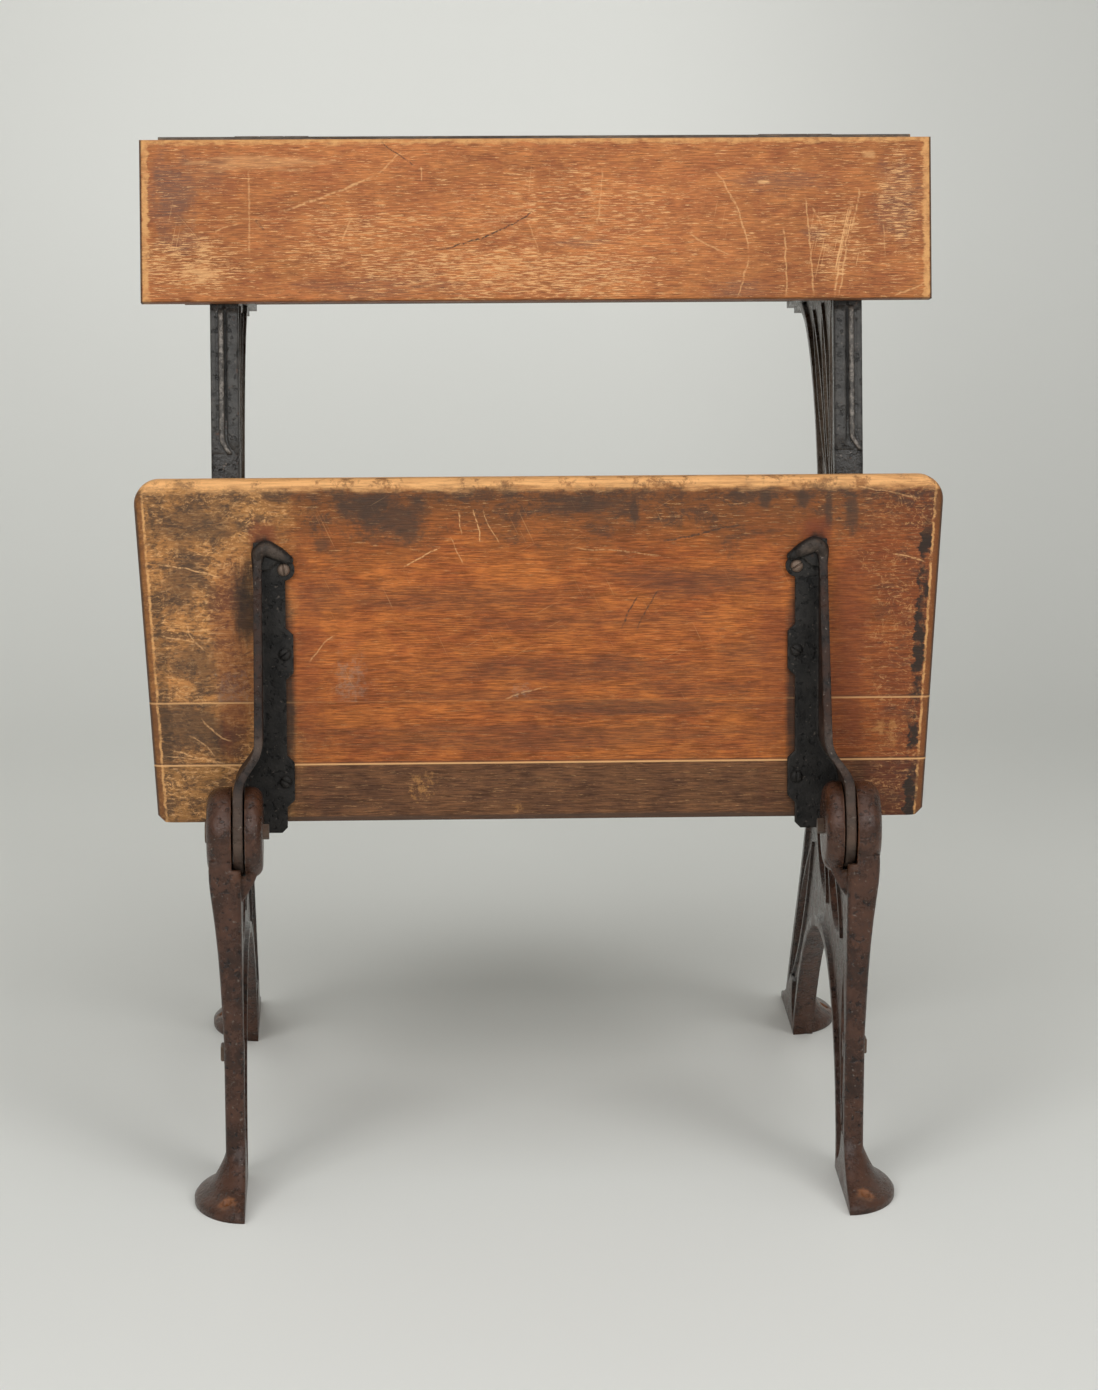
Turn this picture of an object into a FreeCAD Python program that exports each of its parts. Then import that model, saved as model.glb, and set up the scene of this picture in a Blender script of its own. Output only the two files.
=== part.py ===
import FreeCAD, Part
import math
import os

from FreeCAD import Vector

# School desk: two cast-iron standards carry a book box with a lift lid, and a seat that folds up between
# the front legs and the posts. Millimetres, +Z up, the sitter's side is -Y. Y stations are measured from the
# front face of the front legs; the finished pieces are then moved to the middle of the footprint.

# Sections of the standards
WEB_THICKNESS = 6.0
WEB_INSET = 3.0
RIM_WIDTH = 16.0
RIM_DEPTH = 8.0
LEG_WIDTH = 14.5
LEG_ROUNDING = 4.0
POST_WIDTH = 21.0
POST_DEPTH = 9.0
POST_GROOVE_WIDTH = 2.5
POST_GROOVE_DEPTH = 2.0
POST_GROOVE_LENGTH = 86.0
BEAD_WIDTH = 3.5
BEAD_RISE = 2.0
ARM_LENGTH = 306.0
ARM_FLANGE_LAP = 6.0
ARM_FLANGE_WIDTH = 34.0
ARM_FLANGE_THICKNESS = 6.0
ARM_END_DEPTH = 10.0

# Feet and floor screw holes
FRONT_FOOT_Y = 6.0
REAR_FOOT_Y = 444.0
FOOT_HALF_LENGTH = 54.0
FOOT_WIDTH = 38.0
FOOT_RIM = 4.0
INSTEP_HEIGHT = 38.0
INSTEP_LEVELS = (0.08, 0.18, 0.34, 0.62, 1.0)
INSTEP_WIDTHS = (0.93, 0.78, 0.62, 0.47, 0.37)
INSTEP_LENGTHS = (0.93, 0.76, 0.54, 0.34, 0.2)
FRONT_INSTEP_LEAN = 0.09
FLOOR_HOLE_RADIUS = 3.5
FRONT_HOLE_INSET = 13.0
FRONT_HOLE_FORWARD = 38.0
REAR_HOLE_INSET = 30.0
REAR_HOLE_FORWARD = 8.0

# Side outline of the standards
TOE_FORWARD = 14.0
ARCH_FOOT_GAP = 52.0
HEEL_BEHIND = 28.0
ARCH_TOP_Y = 198.0
ARCH_TOP_Z = 145.0
REAR_WAIST_Y = 243.0
REAR_WAIST_Z = 410.0
REAR_HIP_Y = 325.0
REAR_HIP_Z = 185.0
SHOULDER_DROP = 34.0
ARMPIT_DROP = 119.0
POST_BEND_Z = 400.0
POST_STRAIGHT_Z = 516.0
POST_STRAIGHT = 128.0
SEAT_POST_GAP = 8.0
SEAT_POST_TOP_GAP = 14.5
SADDLE_DROP = 3.0
SADDLE_RISE = 18.0

# Openings in the web
LANCET_HALF_WIDTH = 20.0
LANCET_FOOT_RISE = 44.0
RING_MARGIN = 17.0
WAIST_LEAF_HALF_WIDTH = 17.0
WAIST_LEAF_SHARES = ((0.024, 0.27, 0.28), (0.323, 0.539, 0.5))
LEG_LEAF_HALF_WIDTH = 11.0
LEG_LEAF_Y = 31.0
LEG_LEAF_FOOT_Z = 50.0
REAR_LEAF_INSET = 48.0
REAR_LEAF_RISE = 6.0
REAR_LEAF_FOOT_FORWARD = 14.0
REAR_LEAF_FOOT_Z = 46.0
FAN_LEAF_GAP = 4.0
FAN_LEAF_HALF_WIDTH = 11.0
FAN_LEAF_SHARES = ((0.154, 0.148), (0.203, 0.363), (0.283, 0.56))

# Hinge heads and pivots
PIVOT_Y = 30.0
PIVOT_Z = 273.0
HEAD_RADIUS = 33.0
HEAD_OUTER_ROUNDING = 11.0
HEAD_INNER_ROUNDING = 8.0
INNER_CHEEK = 12.5
OUTER_CHEEK = 18.0
SLOT_WIDTH = 10.0
SLOT_CENTRE_OUTSIDE = 2.0
SLOT_FLOOR_GAP = 3.0
SLOT_SHELF_SHARE = 0.7
NECK_DROP = 128.0
NECK_TOP_RISE = 18.0
NECK_LAP = 10.0
NECK_INSET = 0.3
NECK_ROUNDING = 4.0
NECK_FLARES = ((0.0, 0.0), (0.39, 0.19), (0.67, 0.41), (0.88, 0.68), (1.0, 0.84))
NECK_DEPTHS = (8.0, 24.0, 44.0)
CHEEK_DROP = 15.0
CHEEK_FLARES = ((0.0, 0.03), (0.45, 0.6), (1.0, 0.96))
CHEEK_FRONT = 11.0
CHEEK_REAR = 48.0
CHEEK_ROUNDING = 3.0
PIVOT_RADIUS = 4.5
PIVOT_CLEARANCE = 0.05
PIVOT_HEAD_RADIUS = 8.0
PIVOT_HEAD_HEIGHT = 1.6
PIVOT_THREAD_RADIUS = 3.0
PIVOT_NUT_ACROSS_FLATS = 10.0
PIVOT_NUT_HEIGHT = 4.5

# Square-headed bolts in the front legs
LEG_BOLT_Y = 20.0
LEG_BOLT_Z = 109.0
LEG_BOLT_RADIUS = 3.5
LEG_BOLT_HEAD = 11.0
LEG_BOLT_HEAD_HEIGHT = 2.5
LEG_BOLT_CHAMFER = 0.8
LEG_BOSS_RADIUS = 9.0
LEG_BOSS_RISE = 0.5

# Seat, in its folded position
SEAT_LEAN = 6.5
SEAT_OFFSET = 38.0
SEAT_RISE = 2.0
SEAT_THICKNESS = 22.0
SEAT_DEPTH = 252.0
SEAT_FRONT_WIDTH = 596.0
SEAT_REAR_WIDTH = 565.0
SEAT_CORNER_RADIUS = 18.0
SEAT_REAR_CORNER = 5.0
SEAT_EDGE_RADIUS = 6.0
SEAT_REAR_STRIP = 42.0
SEAT_MIDDLE_STRIP = 46.0

# Seat arms
TONGUE_RADIUS = 31.0
TONGUE_THICKNESS = 7.0
ARM_RIB_THICKNESS = 6.0
ARM_RIB_INSIDE = 13.0
ARM_JOGGLE_START = 29.0
ARM_JOGGLE_END = 66.0
ARM_REACH = 208.0
ARM_TAIL = 8.0
ARM_TIP_DEPTH = 6.0
ARM_PLATE_THICKNESS = 4.0
ARM_PLATE_WIDTH = 23.0
ARM_PLATE_CORNER = 4.0
ARM_HOOK_RADIUS = 8.0
ARM_BEAK_REACH = 6.0
ARM_BEAK_GAP = 5.5
ARM_LUG_LENGTH = 38.0
ARM_LUG_REACH = 5.5
ARM_LUG_SHOULDER = 5.0
ARM_LUG_ROUNDING = 3.0
ARM_LUG_SHARES = (0.154, 0.606, 0.904)
ARM_KNOB_RADIUS = 7.0

# Desk box: the front board leans back and the whole box slopes with it
BOX_TILT = 12.0
FRONT_BOARD_OVERHANG = 19.0
FRONT_BOARD_HEIGHT = 119.0
FRONT_BOARD_THICKNESS = 19.0
FRONT_BOARD_EDGE_RADIUS = 2.5
FRONT_BOARD_LAP = 21.0
BOX_WIDTH = 544.0
BOX_OVERHANG = 24.0
BOX_DEPTH = 316.0
BOX_BOTTOM_THICKNESS = 10.0
BOX_WALL = 16.0
RAIL_STAND = 4.0
RAIL_DEPTH = 28.0
RAIL_EDGE_RADIUS = 2.0
LID_OVERHANG = 6.0
LID_LENGTH = 308.0
LID_BOARDS = 3
LID_THICKNESS = 18.0
LID_EDGE_RADIUS = 3.0
LID_JOINT_GAP = 0.6
LID_SEAT_GAP = 0.3
BATTEN_WIDTH = 40.0
BATTEN_THICKNESS = 14.0
BATTEN_INSET = 86.0
BATTEN_END_GAP = 20.0
BATTEN_CHAMFER = 3.0

# Lid hinges
HINGE_INSET = 83.0
HINGE_LEAF_WIDTH = 22.0
HINGE_LEAF_THICKNESS = 2.0
KNUCKLE_LENGTH = 18.0
KNUCKLE_GAP = 0.4
KNUCKLE_RADIUS = 3.2
KNUCKLE_CLEARANCE = 0.6
HINGE_PIN_RADIUS = 1.5
HINGE_PIN_CLEARANCE = 0.05

# Wood screws: shank radius, head radius and head height of each kind
SEAT_SCREW = (2.0, 4.2, 2.2)
BOARD_SCREW = (2.2, 4.2, 2.4)
ARM_SCREW = (2.2, 4.2, 2.4)
BOX_SCREW = (1.8, 3.6, 2.0)
BATTEN_SCREW = (1.8, 3.6, 2.0)
HINGE_SCREW = (1.5, 3.0, 1.4)
SCREW_COVER = 6.0
BOX_SCREW_BITE = 22.0
BOX_SCREW_COUNT = 3
REAR_SCREW_SHARES = (0.25, 0.7)
ARM_SCREW_SHARES = (0.13, 0.52, 0.92)
ARM_SCREW_OUTSIDE = 7.0
ARM_SCREW_COVER = 2.0
BATTEN_SCREW_INSET = 22.0
HINGE_SCREW_SPREAD = 34.0
HINGE_SCREW_BITE = 10.0

# Derived places
TILT = math.radians(BOX_TILT)
LEAN = math.radians(SEAT_LEAN)
ARM_FLANGE_OUTSIDE = BOX_WIDTH / 2 - BOX_OVERHANG
ARM_FLANGE_INSIDE = ARM_FLANGE_OUTSIDE - ARM_FLANGE_WIDTH
INNER_FACE = ARM_FLANGE_INSIDE + ARM_FLANGE_LAP
RIM_OUTSIDE = INNER_FACE + RIM_WIDTH
LEG_OUTSIDE = INNER_FACE + LEG_WIDTH
POST_OUTSIDE = INNER_FACE + POST_WIDTH
WEB_INSIDE = INNER_FACE + WEB_INSET
WEB_OUTSIDE = WEB_INSIDE + WEB_THICKNESS
SLOT_CENTRE = INNER_FACE + SLOT_CENTRE_OUTSIDE
SLOT_INSIDE = SLOT_CENTRE - SLOT_WIDTH / 2
SLOT_OUTSIDE = SLOT_CENTRE + SLOT_WIDTH / 2
HEAD_INSIDE = SLOT_INSIDE - INNER_CHEEK
HEAD_OUTSIDE = SLOT_OUTSIDE + OUTER_CHEEK
SLOT_FLOOR_RADIUS = TONGUE_RADIUS + SLOT_FLOOR_GAP
SLOT_FLOOR_Z = PIVOT_Z - SLOT_FLOOR_RADIUS
SLOT_SHELF_Z = PIVOT_Z - SLOT_SHELF_SHARE * TONGUE_RADIUS
LEG_TOE_Y = FRONT_FOOT_Y - TOE_FORWARD
ARCH_FRONT_Y = FRONT_FOOT_Y + ARCH_FOOT_GAP
ARCH_REAR_Y = REAR_FOOT_Y - ARCH_FOOT_GAP
HEEL_Y = REAR_FOOT_Y + HEEL_BEHIND
REAR_INSTEP_LEAN = (REAR_HIP_Y - HEEL_Y) / REAR_HIP_Z
SADDLE_Z = SLOT_FLOOR_Z - SADDLE_DROP
POST_FOOT_Z = SADDLE_Z + SADDLE_RISE
ARM_RIB_X = INNER_FACE - ARM_RIB_INSIDE
ARM_RIB_OUTSIDE = ARM_RIB_X + ARM_RIB_THICKNESS / 2
ARM_PLATE_EDGE = ARM_RIB_OUTSIDE - ARM_PLATE_WIDTH
ARM_PLATE_FACE = SEAT_OFFSET - ARM_PLATE_THICKNESS
FRONT_BOARD_WIDTH = BOX_WIDTH + 2 * FRONT_BOARD_OVERHANG
LID_WIDTH = BOX_WIDTH + 2 * LID_OVERHANG
TOP_W = FRONT_BOARD_HEIGHT + RAIL_STAND
LID_UNDERSIDE_W = TOP_W - LID_THICKNESS
WALL_TOP_W = LID_UNDERSIDE_W - LID_SEAT_GAP
BOX_FLOOR_W = FRONT_BOARD_LAP + BOX_BOTTOM_THICKNESS
BOX_FRONT_U = FRONT_BOARD_THICKNESS
BOX_REAR_U = BOX_FRONT_U + BOX_DEPTH
ARM_END_U = BOX_FRONT_U + ARM_LENGTH
RAIL_REAR_U = BOX_FRONT_U + RAIL_DEPTH
LID_AXIS_U = RAIL_REAR_U + LID_JOINT_GAP / 2
LID_FRONT_U = RAIL_REAR_U + LID_JOINT_GAP
LID_REAR_U = LID_FRONT_U + LID_LENGTH
BATTEN_FRONT_U = LID_FRONT_U + BATTEN_END_GAP
BATTEN_REAR_U = BOX_REAR_U - BOX_WALL - BATTEN_END_GAP
BATTEN_LOW_W = LID_UNDERSIDE_W - BATTEN_THICKNESS
BATTEN_X = BOX_WIDTH / 2 - BOX_WALL - BATTEN_INSET
HINGE_X = LID_WIDTH / 2 - HINGE_INSET
HINGE_LENGTH = 3 * KNUCKLE_LENGTH + 2 * KNUCKLE_GAP
HINGE_START = HINGE_X - HINGE_LENGTH / 2
NEAR_ZERO = 0.01
PAST = 1.0


# Frames of reference

def seat_face_y(z):
    """Station of the folded seat's sitting face at a height."""
    return PIVOT_Y + (SEAT_OFFSET + SEAT_THICKNESS) / math.cos(LEAN) + (z - PIVOT_Z) * math.tan(LEAN)


POST_FOOT_Y = seat_face_y(PIVOT_Z) + SEAT_POST_GAP
POST_BEND_Y = seat_face_y(POST_BEND_Z) + SEAT_POST_GAP
POST_STRAIGHT_Y = seat_face_y(POST_STRAIGHT_Z) + SEAT_POST_TOP_GAP
FRONT_BOARD_Y = POST_STRAIGHT_Y + POST_STRAIGHT * math.sin(TILT) - FRONT_BOARD_THICKNESS * math.cos(TILT)
FRONT_BOARD_Z = POST_STRAIGHT_Z + POST_STRAIGHT * math.cos(TILT) + FRONT_BOARD_THICKNESS * math.sin(TILT)


def box_point(u, w):
    """Side-view point (y, z) at depth u behind the front board's face and height w above its lower edge."""
    y = FRONT_BOARD_Y + u * math.cos(TILT) + w * math.sin(TILT)
    z = FRONT_BOARD_Z - u * math.sin(TILT) + w * math.cos(TILT)
    return (y, z)


def to_box(shape):
    """Tilt a shape drawn in box coordinates (x, u, w) into its place on the standards."""
    moved = shape.copy()
    moved.rotate(Vector(0, 0, 0), Vector(1, 0, 0), -BOX_TILT)
    moved.translate(Vector(0, FRONT_BOARD_Y, FRONT_BOARD_Z))
    return moved


def to_seat(shape):
    """Lean a shape drawn about the pivot axis back into the folded position of the seat."""
    moved = shape.copy()
    moved.rotate(Vector(0, 0, 0), Vector(1, 0, 0), -SEAT_LEAN)
    moved.translate(Vector(0, PIVOT_Y, PIVOT_Z))
    return moved


def mirrored(shape):
    return shape.mirror(Vector(0, 0, 0), Vector(1, 0, 0))


def both_sides(shapes):
    """The right-hand shapes followed by their mirror images."""
    return shapes + [mirrored(shape) for shape in shapes]


def without(shape, tools):
    return shape.cut(Part.makeCompound(tools))


# Basic solids

def block(x0, x1, y0, y1, z0, z1):
    return Part.makeBox(x1 - x0, y1 - y0, z1 - z0, Vector(x0, y0, z0))


def rod(x0, x1, y, z, radius):
    """Round bar along X."""
    return Part.makeCylinder(radius, x1 - x0, Vector(x0, y, z), Vector(1, 0, 0))


def side_vector(point):
    return Vector(0, point[0], point[1])


def extruded(face, x0, x1):
    """Thicken a side-view face from x0 to x1."""
    moved = face.copy()
    moved.translate(Vector(x0, 0, 0))
    return moved.extrude(Vector(x1 - x0, 0, 0))


def polygon_face(points):
    corners = [side_vector(point) for point in points]
    return Part.Face(Part.makePolygon(corners + corners[:1]))


def plan_solid(outline, y0, y1):
    """Thicken an outline of (x, z) points from y0 to y1."""
    ring = [Vector(x, y0, z) for x, z in outline]
    return Part.Face(Part.makePolygon(ring + ring[:1])).extrude(Vector(0, y1 - y0, 0))


def edges_where(shape, test):
    """Edges whose bounding boxes satisfy the test."""
    return [edge for edge in shape.Edges if test(edge.BoundBox)]


def screw(size, length, seat, direction):
    """Wood screw whose domed head stands on the seat point and whose shank runs along the direction."""
    radius, head_radius, head_height = size
    top = seat - direction * head_height
    head = Part.makeCylinder(head_radius, head_height, top, direction)
    rim = [edge for edge in head.Edges if (edge.CenterOfMass - top).Length < NEAR_ZERO]
    head = head.makeFillet(0.6 * head_height, rim)
    shank = Part.makeCylinder(radius, length, seat, direction)
    return head.fuse(shank).removeSplitter()


def flush_screw(size, length, face, direction):
    """Countersunk screw whose flat head lies in the face point."""
    radius, head_radius, head_height = size
    head = Part.makeCone(head_radius, radius, head_height, face, direction)
    shank = Part.makeCylinder(radius, length, face, direction)
    return head.fuse(shank).removeSplitter()


# Side outlines of the standards

def spline(points, start=None, end=None):
    curve = Part.BSplineCurve()
    places = [side_vector(point) for point in points]
    if start and end:
        curve.interpolate(Points=places, InitialTangent=side_vector(start), FinalTangent=side_vector(end))
    else:
        curve.interpolate(Points=places)
    return curve


def offset_spline(curve, distance, samples=24):
    """Curve at a distance to the left of the given one, seen with +Y right and +Z up."""
    first, last = curve.FirstParameter, curve.LastParameter
    points = []
    for index in range(samples + 1):
        parameter = first + (last - first) * index / samples
        tangent = curve.tangent(parameter)[0]
        normal = Vector(0, -tangent.z, tangent.y)
        points.append(curve.value(parameter) + normal * distance)
    moved = Part.BSplineCurve()
    moved.interpolate(Points=points)
    return moved


def strap(curve, depth, x0, x1):
    """Strip of iron that follows a side-view curve; a positive depth lies to the left of it."""
    inner = offset_spline(curve, depth)
    sides = [curve.toShape(), inner.toShape()]
    sides.append(Part.makeLine(curve.StartPoint, inner.StartPoint))
    sides.append(Part.makeLine(curve.EndPoint, inner.EndPoint))
    face = Part.Face(Part.Wire(Part.__sortEdges__(sides)))
    return extruded(face, x0, x1)


def rounded_strap(curve, depth, x0, x1, radius):
    """Strap whose two long edges on the curve itself are rounded."""
    solid = strap(curve, depth, x0, x1)
    ends = (curve.StartPoint, curve.EndPoint)
    long_edges = []
    for edge in solid.Edges:
        marks = [Vector(0, vertex.Y, vertex.Z) for vertex in edge.Vertexes]
        on_curve = all(min((mark - end).Length for end in ends) < NEAR_ZERO for mark in marks)
        if on_curve and edge.Length > x1 - x0 + PAST:
            long_edges.append(edge)
    return solid.makeFillet(radius, long_edges)


def front_leg_curve():
    top = PIVOT_Z - HEAD_RADIUS / 2
    return spline([(LEG_TOE_Y, 0), (0.2 * LEG_TOE_Y, 0.12 * top), (0, 0.3 * top), (0, 0.7 * top), (0, top)])


def saddle_curve():
    """Dip between the hinge head and the foot of the post."""
    start = (PIVOT_Y + 0.5 * HEAD_RADIUS, SADDLE_Z)
    end = (POST_FOOT_Y, POST_FOOT_Z)
    middle = (0.34 * start[0] + 0.66 * end[0], SADDLE_Z)
    return spline([start, middle, end], (1, 0), (0, 1))


def post_curve():
    """Front face of the post from its foot up to where it turns straight along the tilted box."""
    lower = (POST_FOOT_Y, POST_FOOT_Z)
    upper = (POST_STRAIGHT_Y, POST_STRAIGHT_Z)
    reach = POST_STRAIGHT_Z - POST_FOOT_Z
    lean = (math.sin(TILT) * reach, math.cos(TILT) * reach)
    return spline([lower, (POST_BEND_Y, POST_BEND_Z), upper], (0, reach), lean)


def rear_curve():
    """Rear edge from under the end of the top arm down to the heel of the rear leg."""
    under_arm = FRONT_BOARD_LAP - ARM_END_DEPTH
    points = [
        box_point(ARM_END_U, under_arm),
        box_point(0.64 * ARM_END_U, under_arm - SHOULDER_DROP),
        box_point(0.47 * ARM_END_U, under_arm - ARMPIT_DROP),
        (REAR_WAIST_Y, REAR_WAIST_Z),
        (0.76 * REAR_WAIST_Y + 0.24 * REAR_HIP_Y, 0.5 * (REAR_WAIST_Z + REAR_HIP_Z)),
        (REAR_HIP_Y, REAR_HIP_Z),
        (0.52 * REAR_HIP_Y + 0.48 * HEEL_Y, 0.52 * REAR_HIP_Z),
        (HEEL_Y, 0),
    ]
    return spline(points)


def arch_curve():
    """Arch between the legs, from the front foot to the rear foot."""
    front = ARCH_TOP_Y - ARCH_FRONT_Y
    rear = ARCH_REAR_Y - ARCH_TOP_Y
    points = [
        (ARCH_FRONT_Y, 0),
        (ARCH_FRONT_Y + 0.16 * front, 0.58 * ARCH_TOP_Z),
        (ARCH_FRONT_Y + 0.48 * front, 0.90 * ARCH_TOP_Z),
        (ARCH_TOP_Y, ARCH_TOP_Z),
        (ARCH_TOP_Y + 0.37 * rear, 0.86 * ARCH_TOP_Z),
        (ARCH_TOP_Y + 0.71 * rear, 0.52 * ARCH_TOP_Z),
        (ARCH_REAR_Y, 0),
    ]
    return spline(points)


def web_face():
    """Outline of the thin web; its front edge lies inside the rounded strap of the leg."""
    leg = offset_spline(front_leg_curve(), -RIM_DEPTH / 2)
    saddle = saddle_curve()
    post = post_curve()
    rear = rear_curve()
    arch = arch_curve()
    top_front = side_vector(box_point(FRONT_BOARD_THICKNESS, FRONT_BOARD_LAP))
    top_rear = side_vector(box_point(ARM_END_U, FRONT_BOARD_LAP))
    inside_head = side_vector((PIVOT_Y, SADDLE_Z))
    lines = [
        (leg.EndPoint, inside_head),
        (inside_head, saddle.StartPoint),
        (post.EndPoint, top_front),
        (top_front, top_rear),
        (top_rear, rear.StartPoint),
        (rear.EndPoint, arch.EndPoint),
        (arch.StartPoint, leg.StartPoint),
    ]
    edges = [curve.toShape() for curve in (leg, saddle, post, rear, arch)]
    edges += [Part.makeLine(a, b) for a, b in lines]
    return Part.Face(Part.Wire(Part.__sortEdges__(edges)))


# Openings in the web

def crossing(curve, z, steps=200):
    """Station where a side curve crosses a height."""
    span = curve.LastParameter - curve.FirstParameter
    places = [curve.value(curve.FirstParameter + span * index / steps) for index in range(steps + 1)]
    return min(places, key=lambda place: abs(place.z - z)).y


def panel_point(share, z):
    """Point in the upper panel, a share of the way from the post to the rear rim."""
    front = crossing(post_curve(), z) + POST_DEPTH
    rear = crossing(rear_curve(), z) - RIM_DEPTH
    return (front + share * (rear - front), z)


def leaf_face(tip_a, tip_b, bulge, grow=0.0):
    """Pointed leaf of two arcs between its tips, optionally grown all round."""
    a = side_vector(tip_a)
    b = side_vector(tip_b)
    axis = (b - a).normalize()
    a = a - axis * 2 * grow
    b = b + axis * 2 * grow
    middle = (a + b) * 0.5
    side = Vector(0, -axis.z, axis.y) * (bulge + grow)
    left = Part.Arc(a, middle + side, b).toShape()
    right = Part.Arc(b, middle - side, a).toShape()
    return Part.Face(Part.Wire([left, right]))


def lancet_foot_z():
    return SADDLE_Z + LANCET_FOOT_RISE


def ring_z():
    """Height of the round opening, between the lancets and the fan of leaves."""
    return 0.24 * lancet_foot_z() + 0.76 * POST_STRAIGHT_Z


def ring_radius():
    front = panel_point(0, ring_z())
    rear = panel_point(1, ring_z())
    return 0.5 * (rear[0] - front[0]) - RING_MARGIN


def ring_face(grow=0.0):
    centre = side_vector(panel_point(0.5, ring_z()))
    return Part.Face(Part.Wire(Part.makeCircle(ring_radius() + grow, centre, Vector(1, 0, 0))))


def leaves():
    """Tips and half width of each leaf opening: lancets, fan, front leg, waist and rear leg."""
    foot_z = lancet_foot_z()
    top_z = ring_z() - ring_radius()
    waist_z = 0.5 * (ARCH_TOP_Z + SADDLE_Z)
    waist = SADDLE_Z - ARCH_TOP_Z
    fan_top = FRONT_BOARD_LAP - ARM_END_DEPTH - RIM_DEPTH - FAN_LEAF_GAP
    places = []
    for share in (0.28, 0.72):
        places.append((panel_point(share, foot_z), panel_point(share, top_z), LANCET_HALF_WIDTH))
    for foot_share, tip_share in FAN_LEAF_SHARES:
        low = box_point(foot_share * ARM_END_U, FAN_LEAF_GAP - POST_STRAIGHT)
        high = box_point(tip_share * ARM_END_U, fan_top)
        places.append((low, high, FAN_LEAF_HALF_WIDTH))
    leg_low = (LEG_LEAF_Y, LEG_LEAF_FOOT_Z)
    leg_high = (LEG_LEAF_Y, 0.68 * SADDLE_Z)
    places.append((leg_low, leg_high, LEG_LEAF_HALF_WIDTH))
    for front_share, rear_share, rise in WAIST_LEAF_SHARES:
        front = (ARCH_FRONT_Y + front_share * (ARCH_REAR_Y - ARCH_FRONT_Y), waist_z - 0.1 * waist)
        rear = (ARCH_FRONT_Y + rear_share * (ARCH_REAR_Y - ARCH_FRONT_Y), waist_z + rise * waist)
        places.append((front, rear, WAIST_LEAF_HALF_WIDTH))
    rear_top = (REAR_HIP_Y - REAR_LEAF_INSET, REAR_HIP_Z + REAR_LEAF_RISE)
    rear_low = (0.5 * (ARCH_REAR_Y + HEEL_Y) - REAR_LEAF_FOOT_FORWARD, REAR_LEAF_FOOT_Z)
    places.append((rear_top, rear_low, LEG_LEAF_HALF_WIDTH))
    return places


def tracery():
    """Solids to cut out of the web, and the raised beads round each opening."""
    faces = [(leaf_face(a, b, bulge), leaf_face(a, b, bulge, BEAD_WIDTH)) for a, b, bulge in leaves()]
    faces.append((ring_face(), ring_face(BEAD_WIDTH)))
    cuts = [extruded(small, INNER_FACE - PAST, POST_OUTSIDE + PAST) for small, large in faces]
    beads = [extruded(large, WEB_INSIDE - BEAD_RISE, WEB_OUTSIDE + BEAD_RISE) for small, large in faces]
    return cuts, beads


# Cast standards

def half_oval(centre_y, half_length, width, z):
    """Half-oval wire, flat on the inner face of the standard: a half circle stretched both ways."""
    arc = Part.Arc(Vector(0, -1, 0), Vector(1, 0, 0), Vector(0, 1, 0)).toShape()
    unit = Part.Wire([arc, Part.makeLine(Vector(0, 1, 0), Vector(0, -1, 0))])
    stretch = FreeCAD.Matrix()
    stretch.scale(width, half_length, 1)
    oval = unit.transformGeometry(stretch)
    oval.translate(Vector(INNER_FACE, centre_y, z))
    return oval


def foot(centre_y, lean):
    """Half-oval pad whose top sweeps up into the leg; its upper sections follow the leg's lean."""
    rim = half_oval(centre_y, FOOT_HALF_LENGTH, FOOT_WIDTH, FOOT_RIM)
    sections = [rim]
    for level, width, length in zip(INSTEP_LEVELS, INSTEP_WIDTHS, INSTEP_LENGTHS):
        rise = level * INSTEP_HEIGHT
        place = centre_y + lean * rise
        sections.append(half_oval(place, length * FOOT_HALF_LENGTH, width * FOOT_WIDTH, FOOT_RIM + rise))
    pad = Part.Face(half_oval(centre_y, FOOT_HALF_LENGTH, FOOT_WIDTH, 0)).extrude(Vector(0, 0, FOOT_RIM))
    return pad.fuse(Part.makeLoft(sections, True, False))


def foot_holes():
    """Floor screw holes of one standard."""
    places = [
        (INNER_FACE + FRONT_HOLE_INSET, FRONT_FOOT_Y - FRONT_HOLE_FORWARD),
        (INNER_FACE + REAR_HOLE_INSET, REAR_FOOT_Y - REAR_HOLE_FORWARD),
    ]
    height = FOOT_RIM + INSTEP_HEIGHT
    return [Part.makeCylinder(FLOOR_HOLE_RADIUS, height, Vector(x, y, -PAST)) for x, y in places]


def front_leg():
    """Rounded front strap of the leg, from where the foot ends up into the neck."""
    leg = rounded_strap(front_leg_curve(), -RIM_DEPTH, INNER_FACE, LEG_OUTSIDE, LEG_ROUNDING)
    top = PIVOT_Z - HEAD_RADIUS - NECK_DROP + NECK_LAP
    return leg.common(block(0, 2 * INNER_FACE, -REAR_FOOT_Y, REAR_FOOT_Y, 2 * FOOT_RIM, top))


def hinge_head():
    """Round head with heavily rounded cheeks."""
    head = rod(HEAD_INSIDE, HEAD_OUTSIDE, PIVOT_Y, PIVOT_Z, HEAD_RADIUS)
    outer = edges_where(head, lambda box: box.XMin > HEAD_OUTSIDE - NEAR_ZERO)
    head = head.makeFillet(HEAD_OUTER_ROUNDING, outer)
    inner = edges_where(head, lambda box: box.XMax < HEAD_INSIDE + NEAR_ZERO)
    return head.makeFillet(HEAD_INNER_ROUNDING, inner)


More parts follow.
